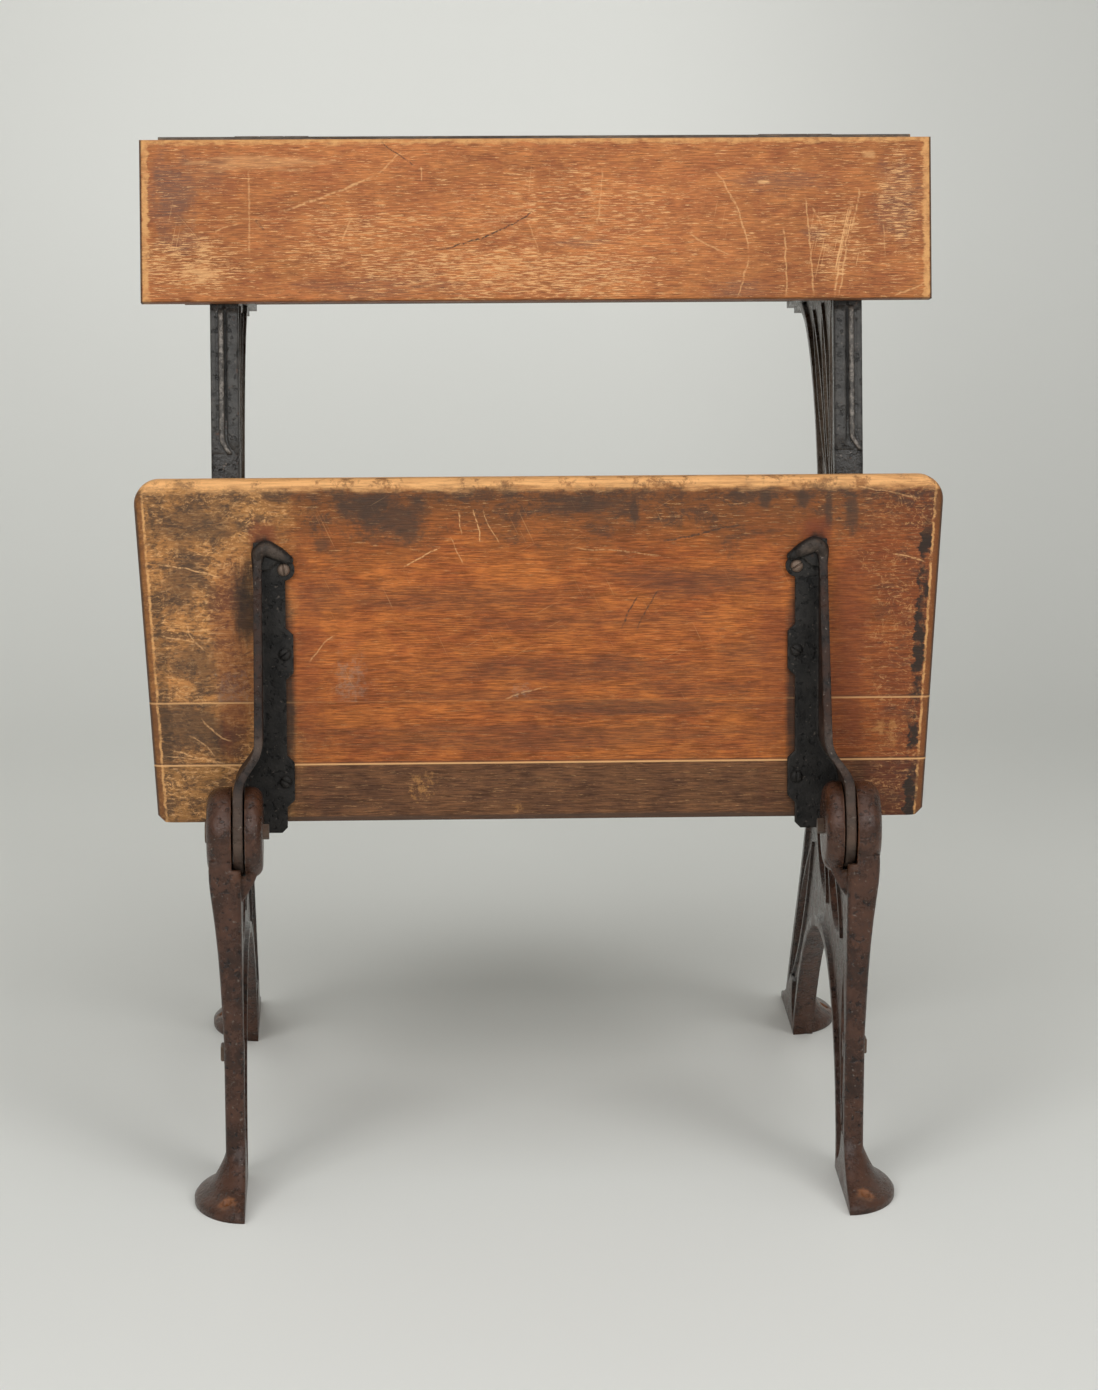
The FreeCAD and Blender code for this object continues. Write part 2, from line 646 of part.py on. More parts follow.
def front_profile(edge_points, straight_x, y0, y1):
    """Solid seen from the front between an upright line and a spline from the same foot to the same top."""
    places = [Vector(x, y0, z) for x, z in edge_points]
    curve = Part.BSplineCurve()
    curve.interpolate(Points=places)
    foot_point = Vector(straight_x, y0, places[0].z)
    top_point = Vector(straight_x, y0, places[-1].z)
    lines = [(places[-1], top_point), (top_point, foot_point), (foot_point, places[0])]
    edges = [curve.toShape()] + [Part.makeLine(a, b) for a, b in lines]
    return Part.Face(Part.Wire(edges)).extrude(Vector(0, y1 - y0, 0))


def neck():
    """Long taper from the hinge head's outer cheek down into the slim front leg, deeper towards the head."""
    head_low = PIVOT_Z - HEAD_RADIUS
    low = head_low - NECK_DROP
    top = head_low + NECK_TOP_RISE
    foot_x = LEG_OUTSIDE - NECK_INSET
    flare = HEAD_OUTSIDE - foot_x
    outer = [(foot_x + share * flare, low + rise * NECK_DROP) for rise, share in NECK_FLARES]
    outer.append((outer[-1][0], top))
    taper = front_profile(outer, INNER_FACE + NECK_INSET, NECK_INSET, NECK_DEPTHS[-1])
    front = edges_where(taper, lambda box: box.YMax < NECK_INSET + NEAR_ZERO and box.ZLength > NECK_DROP)
    taper = taper.makeFillet(NECK_ROUNDING, front)
    shallow, middle, deep = NECK_DEPTHS
    rear = spline([(shallow, low), (middle, 0.5 * (low + head_low)), (deep - NEAR_ZERO, head_low)])
    ring = [(deep - NEAR_ZERO, head_low), (deep - NEAR_ZERO, top), (-deep, top), (-deep, low), (shallow, low)]
    edges = [rear.toShape()]
    edges += [Part.makeLine(side_vector(a), side_vector(b)) for a, b in zip(ring, ring[1:])]
    return taper.common(extruded(Part.Face(Part.Wire(edges)), 0, 2 * INNER_FACE))


def cheek_root():
    """Short swelling that joins the inner cheek to the leg below the slot."""
    low = PIVOT_Z - HEAD_RADIUS - CHEEK_DROP
    height = CHEEK_DROP + NECK_TOP_RISE
    flare = HEAD_INSIDE - INNER_FACE
    inner = [(INNER_FACE + share * flare, low + rise * height) for rise, share in CHEEK_FLARES]
    root = front_profile(inner, SLOT_OUTSIDE, CHEEK_FRONT, CHEEK_REAR)
    front = edges_where(root, lambda box: box.YMax < CHEEK_FRONT + NEAR_ZERO and box.XMin < HEAD_INSIDE + PAST
                        and box.ZLength > CHEEK_DROP)
    return root.makeFillet(CHEEK_ROUNDING, front)


def pivot_slot():
    """Room for the tongue to turn in, and for the arm to swing above the shelf."""
    well = rod(SLOT_INSIDE, SLOT_OUTSIDE, PIVOT_Y, PIVOT_Z, SLOT_FLOOR_RADIUS)
    swing = block(SLOT_INSIDE, SLOT_OUTSIDE, PIVOT_Y - 2 * HEAD_RADIUS, POST_FOOT_Y - NEAR_ZERO, SLOT_SHELF_Z,
                  PIVOT_Z + 2 * HEAD_RADIUS)
    return well.fuse(swing)


def post_front():
    """Panelled front of the post: the curved lower run, then the straight grooved run up behind the board."""
    curved = strap(post_curve(), -POST_DEPTH, INNER_FACE, POST_OUTSIDE)
    seat = FRONT_BOARD_THICKNESS
    straight = block(INNER_FACE, POST_OUTSIDE, seat, seat + POST_DEPTH, -POST_STRAIGHT, FRONT_BOARD_LAP)
    groove_x = INNER_FACE + POST_WIDTH / 2
    groove = block(groove_x - POST_GROOVE_WIDTH / 2, groove_x + POST_GROOVE_WIDTH / 2, seat - PAST,
                   seat + POST_GROOVE_DEPTH, -POST_GROOVE_LENGTH, FRONT_BOARD_LAP + PAST)
    return curved.fuse(to_box(straight.cut(groove)))


def arm_flange():
    """Flat top of the arm that the box bottom is screwed to."""
    flange = block(ARM_FLANGE_INSIDE, ARM_FLANGE_OUTSIDE, BOX_FRONT_U, ARM_END_U,
                   FRONT_BOARD_LAP - ARM_FLANGE_THICKNESS, FRONT_BOARD_LAP)
    return to_box(flange)


def standard():
    """Right-hand standard without its fastener holes."""
    cuts, beads = tracery()
    web = extruded(web_face(), WEB_INSIDE, WEB_OUTSIDE)
    pieces = [
        front_leg(),
        strap(saddle_curve(), -RIM_DEPTH, INNER_FACE, RIM_OUTSIDE),
        strap(rear_curve(), -RIM_DEPTH, INNER_FACE, RIM_OUTSIDE),
        strap(arch_curve(), RIM_DEPTH, INNER_FACE, RIM_OUTSIDE),
        post_front(),
        arm_flange(),
        hinge_head(),
        neck(),
        cheek_root(),
        rod(INNER_FACE, LEG_OUTSIDE + LEG_BOSS_RISE, LEG_BOLT_Y, LEG_BOLT_Z, LEG_BOSS_RADIUS),
        foot(FRONT_FOOT_Y, FRONT_INSTEP_LEAN),
        foot(REAR_FOOT_Y, REAR_INSTEP_LEAN),
    ]
    box_room = to_box(block(0, 2 * INNER_FACE, 0, 2 * BOX_DEPTH, FRONT_BOARD_LAP, 2 * FRONT_BOARD_HEIGHT))
    floor_room = block(0, 2 * INNER_FACE, -REAR_FOOT_Y, 2 * REAR_FOOT_Y, -REAR_FOOT_Y, 0)
    casting = web.multiFuse(beads + pieces)
    for tools in (cuts, [pivot_slot()], [box_room], [floor_room], foot_holes()):
        casting = without(casting, tools)
    return casting


# Pivots and leg bolts

def pivot_bolt():
    shank = rod(HEAD_INSIDE, HEAD_OUTSIDE, PIVOT_Y, PIVOT_Z, PIVOT_RADIUS)
    end = HEAD_OUTSIDE + PIVOT_HEAD_HEIGHT
    head = rod(HEAD_OUTSIDE, end, PIVOT_Y, PIVOT_Z, PIVOT_HEAD_RADIUS)
    head = head.makeFillet(0.6 * PIVOT_HEAD_HEIGHT, edges_where(head, lambda box: box.XMin > end - NEAR_ZERO))
    thread = rod(HEAD_INSIDE - PIVOT_NUT_HEIGHT, HEAD_INSIDE, PIVOT_Y, PIVOT_Z, PIVOT_THREAD_RADIUS)
    return shank.multiFuse([head, thread])


def pivot_nut():
    radius = PIVOT_NUT_ACROSS_FLATS / math.sqrt(3)
    ring = []
    for index in range(6):
        angle = math.radians(60 * index + 30)
        ring.append((PIVOT_Y + radius * math.cos(angle), PIVOT_Z + radius * math.sin(angle)))
    nut = extruded(polygon_face(ring), HEAD_INSIDE - PIVOT_NUT_HEIGHT, HEAD_INSIDE)
    return nut.cut(pivot_bolt())


def leg_bolt():
    seat = LEG_OUTSIDE + LEG_BOSS_RISE
    end = seat + LEG_BOLT_HEAD_HEIGHT
    half = LEG_BOLT_HEAD / 2
    head = block(seat, end, LEG_BOLT_Y - half, LEG_BOLT_Y + half, LEG_BOLT_Z - half, LEG_BOLT_Z + half)
    head = head.makeChamfer(LEG_BOLT_CHAMFER, edges_where(head, lambda box: box.XMin > end - NEAR_ZERO))
    return head.fuse(rod(INNER_FACE, seat, LEG_BOLT_Y, LEG_BOLT_Z, LEG_BOLT_RADIUS))


# Seat, in its own frame: pivot axis at the origin, underside facing -Y, front edge up

def whole_seat():
    low = SEAT_RISE
    high = SEAT_RISE + SEAT_DEPTH
    rear = SEAT_REAR_WIDTH / 2
    front = SEAT_FRONT_WIDTH / 2
    snip = SEAT_REAR_CORNER
    outline = [(-rear + snip, low), (rear - snip, low), (rear, low + snip)]
    outline += [(front, high), (-front, high), (-rear, low + snip)]
    plank = plan_solid(outline, SEAT_OFFSET, SEAT_OFFSET + SEAT_THICKNESS)
    corners = edges_where(plank, lambda box: box.ZMin > high - NEAR_ZERO and box.YLength > NEAR_ZERO)
    plank = plank.makeFillet(SEAT_CORNER_RADIUS, corners)
    rim = edges_where(plank, lambda box: box.YLength < NEAR_ZERO and box.ZMax > low + PAST)
    return plank.makeFillet(SEAT_EDGE_RADIUS, rim)


def seat_strips():
    """Rear, middle and front strips of the glued-up seat."""
    plank = whole_seat()
    rear_joint = SEAT_RISE + SEAT_REAR_STRIP
    front_joint = rear_joint + SEAT_MIDDLE_STRIP
    joints = [SEAT_RISE, rear_joint, front_joint, SEAT_RISE + SEAT_DEPTH]
    strips = []
    for low, high in zip(joints, joints[1:]):
        slab = block(-SEAT_FRONT_WIDTH, SEAT_FRONT_WIDTH, 0, SEAT_OFFSET + 2 * SEAT_THICKNESS, low, high)
        strips.append(plank.common(slab))
    return strips


def joggle_side(tongue_x, rib_x):
    """Edges of one side of the arm seen from the front: up the tongue, through the joggle and up the rib."""
    start = Vector(tongue_x, 0, ARM_JOGGLE_START)
    end = Vector(rib_x, 0, ARM_JOGGLE_END)
    rise = Vector(0, 0, ARM_JOGGLE_END - ARM_JOGGLE_START)
    bend = Part.BSplineCurve()
    bend.interpolate(Points=[start, end], InitialTangent=rise, FinalTangent=rise)
    foot_point = Vector(tongue_x, 0, -TONGUE_RADIUS - PAST)
    top_point = Vector(rib_x, 0, ARM_REACH + PAST)
    return [Part.makeLine(foot_point, start), bend.toShape(), Part.makeLine(end, top_point)]


def joggle_solid():
    """Front view of the arm's standing rib, carried through its whole depth."""
    tongue = TONGUE_THICKNESS / 2
    rib = ARM_RIB_THICKNESS / 2
    outside = joggle_side(SLOT_CENTRE + tongue, ARM_RIB_X + rib)
    inside = joggle_side(SLOT_CENTRE - tongue, ARM_RIB_X - rib)
    ends = []
    for side_a, side_b, index in ((outside[0], inside[0], 0), (outside[-1], inside[-1], 1)):
        ends.append(Part.makeLine(side_a.Vertexes[index].Point, side_b.Vertexes[index].Point))
    face = Part.Face(Part.Wire(Part.__sortEdges__(outside + inside + ends)))
    face.translate(Vector(0, -2 * TONGUE_RADIUS, 0))
    return face.extrude(Vector(0, 2 * TONGUE_RADIUS + SEAT_OFFSET, 0))


def arm_rib():
    """Tongue disc and tapering rib, cut to the joggled outline."""
    profile = polygon_face([
        (-TONGUE_RADIUS, 0), (SEAT_OFFSET - ARM_TIP_DEPTH, ARM_REACH), (SEAT_OFFSET, ARM_REACH),
        (SEAT_OFFSET, SEAT_RISE), (0.7 * TONGUE_RADIUS, -0.7 * TONGUE_RADIUS),
    ])
    solid = extruded(profile, 0, 2 * INNER_FACE).fuse(rod(0, 2 * INNER_FACE, 0, 0, TONGUE_RADIUS))
    return solid.common(joggle_solid())


def arm_plate():
    """Flat plate against the seat; its tail reaches past the seat's rear edge."""
    tail = SEAT_RISE - ARM_TAIL
    knob_z = ARM_REACH - ARM_KNOB_RADIUS
    outline = [
        (ARM_PLATE_EDGE + ARM_PLATE_CORNER, tail), (ARM_RIB_OUTSIDE, tail),
        (SLOT_CENTRE, SEAT_RISE), (SLOT_CENTRE, ARM_JOGGLE_START),
        (ARM_RIB_X, ARM_JOGGLE_END), (ARM_RIB_X, knob_z), (ARM_RIB_OUTSIDE - 2 * ARM_KNOB_RADIUS, knob_z),
        (ARM_PLATE_EDGE, ARM_LUG_SHARES[-1] * ARM_REACH), (ARM_PLATE_EDGE, tail + ARM_PLATE_CORNER),
    ]
    return plan_solid(outline, ARM_PLATE_FACE, SEAT_OFFSET)


def lug_places():
    """X and Z of the seat screws of the right-hand arm."""
    return [(ARM_PLATE_EDGE + PAST, share * ARM_REACH) for share in ARM_LUG_SHARES]


def arm_lug(z):
    """Flat-sided bulge of the plate's inner edge with sloping, rounded shoulders."""
    half = ARM_LUG_LENGTH / 2
    inside = ARM_PLATE_EDGE - ARM_LUG_REACH
    outline = [
        (ARM_RIB_X, z - half), (ARM_PLATE_EDGE, z - half), (inside, z - half + ARM_LUG_SHOULDER),
        (inside, z + half - ARM_LUG_SHOULDER), (ARM_PLATE_EDGE, z + half), (ARM_RIB_X, z + half),
    ]
    lug = plan_solid(outline, ARM_PLATE_FACE, SEAT_OFFSET)
    shoulders = edges_where(lug, lambda box: box.XMax < inside + NEAR_ZERO and box.ZLength < NEAR_ZERO)
    return lug.makeFillet(ARM_LUG_ROUNDING, shoulders)


def arm_beak():
    """Thick beak that slopes from the knob at the arm's tip down to just above the top screw."""
    x, z = lug_places()[-1]
    low = z + ARM_BEAK_GAP
    tip = ARM_PLATE_EDGE - ARM_BEAK_REACH
    outline = [
        (ARM_RIB_X, z),
        (ARM_RIB_X, ARM_REACH),
        (ARM_RIB_X - ARM_KNOB_RADIUS, ARM_REACH - 0.2 * ARM_KNOB_RADIUS),
        (tip, low + ARM_BEAK_GAP / 2), (tip, low), (x + ARM_BEAK_GAP, low), (x + 2 * ARM_BEAK_GAP, z),
    ]
    return plan_solid(outline, SEAT_OFFSET - ARM_TIP_DEPTH, SEAT_OFFSET)


def seat_arm():
    """Right-hand seat arm without its screw holes."""
    along = Vector(0, 1, 0)
    hook_x, hook_z = lug_places()[-1]
    hook_place = Vector(hook_x, ARM_PLATE_FACE, hook_z)
    hook = Part.makeCylinder(ARM_HOOK_RADIUS, ARM_PLATE_THICKNESS, hook_place, along)
    knob_x = ARM_RIB_OUTSIDE - ARM_KNOB_RADIUS
    knob_place = Vector(knob_x, SEAT_OFFSET - ARM_TIP_DEPTH, ARM_REACH - ARM_KNOB_RADIUS)
    knob = Part.makeCylinder(ARM_KNOB_RADIUS, ARM_TIP_DEPTH, knob_place, along)
    lugs = [arm_lug(z) for x, z in lug_places()[:-1]]
    hole = rod(0, 2 * INNER_FACE, 0, 0, PIVOT_RADIUS + PIVOT_CLEARANCE)
    return arm_rib().multiFuse([arm_plate(), hook, knob, arm_beak()] + lugs).cut(hole).removeSplitter()


def seat_screws():
    """Seat screws of the right-hand arm."""
    length = ARM_PLATE_THICKNESS + SEAT_THICKNESS - SCREW_COVER
    along = Vector(0, 1, 0)
    return [screw(SEAT_SCREW, length, Vector(x, ARM_PLATE_FACE, z), along) for x, z in lug_places()]


# Desk box, in box coordinates

def front_board():
    half = FRONT_BOARD_WIDTH / 2
    board = block(-half, half, 0, FRONT_BOARD_THICKNESS, 0, FRONT_BOARD_HEIGHT)
    return board.makeFillet(FRONT_BOARD_EDGE_RADIUS, edges_where(board, lambda box: box.YMax < NEAR_ZERO))


def box_bottom():
    half = BOX_WIDTH / 2
    return block(-half, half, BOX_FRONT_U, BOX_REAR_U, FRONT_BOARD_LAP, BOX_FLOOR_W)


def box_end():
    outside = BOX_WIDTH / 2
    return block(outside - BOX_WALL, outside, BOX_FRONT_U, BOX_REAR_U, BOX_FLOOR_W, WALL_TOP_W)


def box_rear_board():
    inside = BOX_WIDTH / 2 - BOX_WALL
    return block(-inside, inside, BOX_REAR_U - BOX_WALL, BOX_REAR_U, BOX_FLOOR_W, WALL_TOP_W)


def hinge_rail():
    half = LID_WIDTH / 2
    rail = block(-half, half, BOX_FRONT_U, RAIL_REAR_U, WALL_TOP_W, TOP_W)
    front = edges_where(rail, lambda box: box.ZMin > TOP_W - NEAR_ZERO and box.YMax < BOX_FRONT_U + NEAR_ZERO)
    return rail.makeFillet(RAIL_EDGE_RADIUS, front)


def board_screw():
    """Right-hand screw from behind the post into the front board."""
    x = 0.5 * (WEB_OUTSIDE + POST_OUTSIDE)
    seat = Vector(x, FRONT_BOARD_THICKNESS + POST_DEPTH, 0.4 * FRONT_BOARD_LAP)
    return screw(BOARD_SCREW, POST_DEPTH + FRONT_BOARD_THICKNESS - SCREW_COVER, seat, Vector(0, -1, 0))


def arm_screws():
    """Right-hand screws from below through the top arm into the box bottom."""
    low = FRONT_BOARD_LAP - ARM_FLANGE_THICKNESS
    x = WEB_OUTSIDE + ARM_SCREW_OUTSIDE
    length = ARM_FLANGE_THICKNESS + BOX_BOTTOM_THICKNESS - ARM_SCREW_COVER
    return [screw(ARM_SCREW, length, Vector(x, BOX_FRONT_U + share * ARM_LENGTH, low), Vector(0, 0, 1))
            for share in ARM_SCREW_SHARES]


def box_screws():
    """Screws through the box bottom into the right-hand end and half of the rear board."""
    end_x = BOX_WIDTH / 2 - BOX_WALL / 2
    span = BOX_DEPTH - 2 * BOX_WALL
    places = [(end_x, BOX_FRONT_U + BOX_WALL + span * index / (BOX_SCREW_COUNT - 1))
              for index in range(BOX_SCREW_COUNT)]
    places += [(end_x * share, BOX_REAR_U - BOX_WALL / 2) for share in REAR_SCREW_SHARES]
    length = BOX_BOTTOM_THICKNESS + BOX_SCREW_BITE
    return [flush_screw(BOX_SCREW, length, Vector(x, u, FRONT_BOARD_LAP), Vector(0, 0, 1)) for x, u in places]


# Lid, in box coordinates

def lid_boards():
    """Boards of the lid from front to rear; its end and rear edges are rounded on top."""
    half = LID_WIDTH / 2
    lid = block(-half, half, LID_FRONT_U, LID_REAR_U, LID_UNDERSIDE_W, TOP_W)
    rim = edges_where(lid, lambda box: box.ZMin > TOP_W - NEAR_ZERO and box.YMax > LID_FRONT_U + PAST)
    lid = lid.makeFillet(LID_EDGE_RADIUS, rim)
    width = LID_LENGTH / LID_BOARDS
    boards = []
    for index in range(LID_BOARDS):
        start = LID_FRONT_U + index * width
        boards.append(lid.common(block(-half, half, start, start + width, LID_UNDERSIDE_W, TOP_W)))
    return boards


def lid_batten():
    x0 = BATTEN_X - BATTEN_WIDTH / 2
    x1 = BATTEN_X + BATTEN_WIDTH / 2
    batten = block(x0, x1, BATTEN_FRONT_U, BATTEN_REAR_U, BATTEN_LOW_W, LID_UNDERSIDE_W)
    low_rim = edges_where(batten, lambda box: box.ZMax < BATTEN_LOW_W + NEAR_ZERO)
    return batten.makeChamfer(BATTEN_CHAMFER, low_rim)


def batten_screws():
    """Right-hand batten's screws, one into each board of the lid."""
    first = BATTEN_FRONT_U + BATTEN_SCREW_INSET
    last = BATTEN_REAR_U - BATTEN_SCREW_INSET
    places = [first, LID_FRONT_U + LID_LENGTH / 2, last]
    length = BATTEN_THICKNESS + LID_THICKNESS - SCREW_COVER
    return [screw(BATTEN_SCREW, length, Vector(BATTEN_X, u, BATTEN_LOW_W), Vector(0, 0, 1)) for u in places]


# Lid hinges, in box coordinates

def knuckle_spans():
    """X ranges of the three knuckles of the right-hand hinge."""
    step = KNUCKLE_LENGTH + KNUCKLE_GAP
    return [(HINGE_START + index * step, HINGE_START + index * step + KNUCKLE_LENGTH) for index in range(3)]


def hinge_leaf(side, spans, bore):
    """Leaf on one side of the axis (-1 rail, +1 lid) with knuckles over the given spans."""
    near = KNUCKLE_RADIUS + KNUCKLE_CLEARANCE
    low = TOP_W - HINGE_LEAF_THICKNESS
    reach = sorted((LID_AXIS_U + side * near, LID_AXIS_U + side * HINGE_LEAF_WIDTH))
    leaf = block(HINGE_START, HINGE_START + HINGE_LENGTH, reach[0], reach[1], low, TOP_W)
    arm = sorted((LID_AXIS_U, LID_AXIS_U + side * (near + PAST)))
    for x0, x1 in spans:
        leaf = leaf.fuse(block(x0, x1, arm[0], arm[1], low, TOP_W))
        leaf = leaf.fuse(rod(x0, x1, LID_AXIS_U, TOP_W, KNUCKLE_RADIUS))
    return leaf.cut(rod(HINGE_START - PAST, HINGE_START + HINGE_LENGTH + PAST, LID_AXIS_U, TOP_W, bore))


def hinge_pin():
    return rod(HINGE_START, HINGE_START + HINGE_LENGTH, LID_AXIS_U, TOP_W, HINGE_PIN_RADIUS)


def hinge_recess():
    """Room cut in the rail and lid for the leaves and knuckles of the right-hand hinge."""
    end = HINGE_START + HINGE_LENGTH
    leaf_room = block(HINGE_START, end, LID_AXIS_U - HINGE_LEAF_WIDTH, LID_AXIS_U + HINGE_LEAF_WIDTH,
                      TOP_W - HINGE_LEAF_THICKNESS, TOP_W + PAST)
    knuckle_room = rod(HINGE_START - KNUCKLE_CLEARANCE, end + KNUCKLE_CLEARANCE, LID_AXIS_U, TOP_W,
                       KNUCKLE_RADIUS + KNUCKLE_CLEARANCE)
    return leaf_room.fuse(knuckle_room)


def hinge_screws(side):
    """Countersunk screws of one leaf of the right-hand hinge, flush with the leaf."""
    u = LID_AXIS_U + side * 0.62 * HINGE_LEAF_WIDTH
    length = HINGE_LEAF_THICKNESS + HINGE_SCREW_BITE
    places = [HINGE_X - HINGE_SCREW_SPREAD / 2, HINGE_X + HINGE_SCREW_SPREAD / 2]
    return [flush_screw(HINGE_SCREW, length, Vector(x, u, TOP_W), Vector(0, 0, -1)) for x in places]


# Assembly

def standard_nodes():
    board_fixing = to_box(board_screw())
    arm_fixings = [to_box(piece) for piece in arm_screws()]
    right = without(standard(), [pivot_bolt(), leg_bolt(), board_fixing] + arm_fixings)
    return {
        "standard_right": right,
        "standard_left": mirrored(right),
        "pivot_bolts": both_sides([pivot_bolt()]),
        "pivot_nuts": both_sides([pivot_nut()]),
        "leg_bolts": both_sides([leg_bolt()]),
        "front_board_screws": both_sides([board_fixing]),
        "arm_screws": both_sides(arm_fixings),
    }


def seat_nodes():
    every_screw = both_sides(seat_screws())
    arm = without(seat_arm(), seat_screws())
    names = ("seat_board_rear", "seat_board_middle", "seat_board_front")
    nodes = {name: to_seat(without(strip, every_screw)) for name, strip in zip(names, seat_strips())}
    nodes["seat_arm_right"] = to_seat(arm)
    nodes["seat_arm_left"] = to_seat(mirrored(arm))
    nodes["seat_screws"] = [to_seat(piece) for piece in every_screw]
    return nodes


def box_nodes():
    """Fixed pieces of the box with the rail's half of the hinges, in box coordinates."""
    bottom_screws = both_sides(box_screws())
    rail_screws = both_sides(hinge_screws(-1))
    spans = knuckle_spans()
    leaf = without(hinge_leaf(-1, [spans[0], spans[2]], HINGE_PIN_RADIUS), hinge_screws(-1))
    return {
        "front_board": without(front_board(), both_sides([board_screw()])),
        "box_bottom": without(box_bottom(), bottom_screws + both_sides(arm_screws())),
        "box_end_right": without(box_end(), bottom_screws),
        "box_end_left": without(mirrored(box_end()), bottom_screws),
        "box_rear_board": without(box_rear_board(), bottom_screws),
        "box_screws": bottom_screws,
        "hinge_rail": without(hinge_rail(), both_sides([hinge_recess()]) + rail_screws),
        "hinge_rail_leaf_right": leaf,
        "hinge_rail_leaf_left": mirrored(leaf),
        "hinge_rail_screws": rail_screws,
        "hinge_pins": both_sides([hinge_pin()]),
    }


def lid_nodes():
    """Lid with its battens and its half of the hinges, in box coordinates."""
    leaf_screws = both_sides(hinge_screws(1))
    fixings = both_sides(batten_screws())
    room = both_sides([hinge_recess()]) + leaf_screws + fixings
    bore = HINGE_PIN_RADIUS + HINGE_PIN_CLEARANCE
    leaf = without(hinge_leaf(1, [knuckle_spans()[1]], bore), hinge_screws(1))
    batten = without(lid_batten(), batten_screws())
    names = ("lid_board_front", "lid_board_middle", "lid_board_rear")
    nodes = {name: without(board, room) for name, board in zip(names, lid_boards())}
    nodes["lid_batten_right"] = batten
    nodes["lid_batten_left"] = mirrored(batten)
    nodes["batten_screws"] = fixings
    nodes["hinge_lid_leaf_right"] = leaf
    nodes["hinge_lid_leaf_left"] = mirrored(leaf)
    nodes["hinge_lid_screws"] = leaf_screws
    return nodes


def footprint_middle():
    """Station halfway between the front toes and the rear edge of the lid."""
    toe = FRONT_FOOT_Y - FOOT_HALF_LENGTH
    lid_edge = box_point(LID_REAR_U - LID_EDGE_RADIUS, TOP_W - LID_EDGE_RADIUS)[0] + LID_EDGE_RADIUS
    return 0.5 * (toe + lid_edge)


def export(name, shape):
    moved = shape.copy()
    moved.translate(Vector(0, -footprint_middle(), 0))
    moved.exportStep("parts/" + name + ".step")


def main():
    os.makedirs("parts", exist_ok=True)
    for name, shape in {**standard_nodes(), **seat_nodes()}.items():
        export(name, Part.makeCompound(shape) if isinstance(shape, list) else shape)
    for name, shape in {**box_nodes(), **lid_nodes()}.items():
        export(name, to_box(Part.makeCompound(shape) if isinstance(shape, list) else shape))


main()
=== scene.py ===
import math

import bpy
import numpy as np
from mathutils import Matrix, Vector


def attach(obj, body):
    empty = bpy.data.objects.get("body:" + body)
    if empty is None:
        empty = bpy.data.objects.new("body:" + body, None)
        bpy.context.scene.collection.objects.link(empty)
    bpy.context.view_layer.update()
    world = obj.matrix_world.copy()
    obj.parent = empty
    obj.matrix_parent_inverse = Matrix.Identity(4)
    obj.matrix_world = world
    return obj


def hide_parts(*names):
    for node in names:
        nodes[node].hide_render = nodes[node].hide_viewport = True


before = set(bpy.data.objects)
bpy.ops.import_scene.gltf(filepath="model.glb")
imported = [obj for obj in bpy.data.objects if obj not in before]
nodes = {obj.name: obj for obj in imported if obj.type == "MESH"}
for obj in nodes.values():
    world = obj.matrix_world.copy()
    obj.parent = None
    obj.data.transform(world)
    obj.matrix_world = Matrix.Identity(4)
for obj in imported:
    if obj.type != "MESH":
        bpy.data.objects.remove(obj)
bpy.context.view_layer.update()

# Sizes repeated from the part, in metres and radians
MM = 0.001
ORIGIN_STATION = 0.2327233
BOX_TILT = math.radians(12.0)
SEAT_LEAN = math.radians(6.5)
INNER_FACE = 0.220
POST_WIDTH = 0.021
PIVOT = (0.030 - ORIGIN_STATION, 0.273)
BOARD_FOOT = (0.14060 - ORIGIN_STATION, 0.64515)
BOARD_HALF = 0.291
BOARD_HEIGHT = 0.119
LID_HALF = 0.278
LID_REAR = 0.355
SEAT_LOW = 0.002
SEAT_HIGH = 0.254
SEAT_REAR_HALF = 0.2825
SEAT_FRONT_HALF = 0.298
SEAT_TAPER = (SEAT_FRONT_HALF - SEAT_REAR_HALF) / (SEAT_HIGH - SEAT_LOW)
REAR_JOINT = 0.044
MIDDLE_JOINT = 0.090
ARM_PLATE_FACE = 0.034
SLOT_MIDDLE = 0.222
LUG_X = 0.188
LUG_STATIONS = (0.0320, 0.1260, 0.1880)
FRONT_HOLE = (0.233, -0.032 - ORIGIN_STATION)
REAR_HOLE = (0.250, 0.436 - ORIGIN_STATION)

# Sizes of the pieces made here, in metres
MOULDING_FOOT = 0.532
MOULDING_TOP = 0.6385
MOULDING_MARGIN = 0.0004
MOULDING_SUNK = 0.0035
MOULDING_RISE = 0.0006
ENDS_SUNK = 0.0002
PANEL_FOOT = 0.536
PANEL_RISE = 0.0013
BEAD_RISE = 0.0027
BEAD_BENDS_BELOW = 0.545
BEAD_BEND_LENGTH = 0.011
GROOVE_DEPTH = 0.0014
HEAD_RADIUS = 0.0046
HEAD_DOME = 0.0026
HEAD_RIM = 0.0004
SLOT_DEPTH = 0.0016
SUNK_IN_PLATE = 0.001
KNOB_SPINE_X = (0.2072, 0.2072, 0.2064, 0.2008, 0.1910, 0.1830)
KNOB_SPINE_RISE = (0.1740, 0.1895, 0.2012, 0.2040, 0.1990, 0.1945)
KNOB_HALF = (0.0030, 0.0036, 0.0056, 0.0064, 0.0054, 0.0032)
KNOB_SWELL = (0.0020, 0.0052, 0.0068, 0.0066, 0.0056, 0.0030)

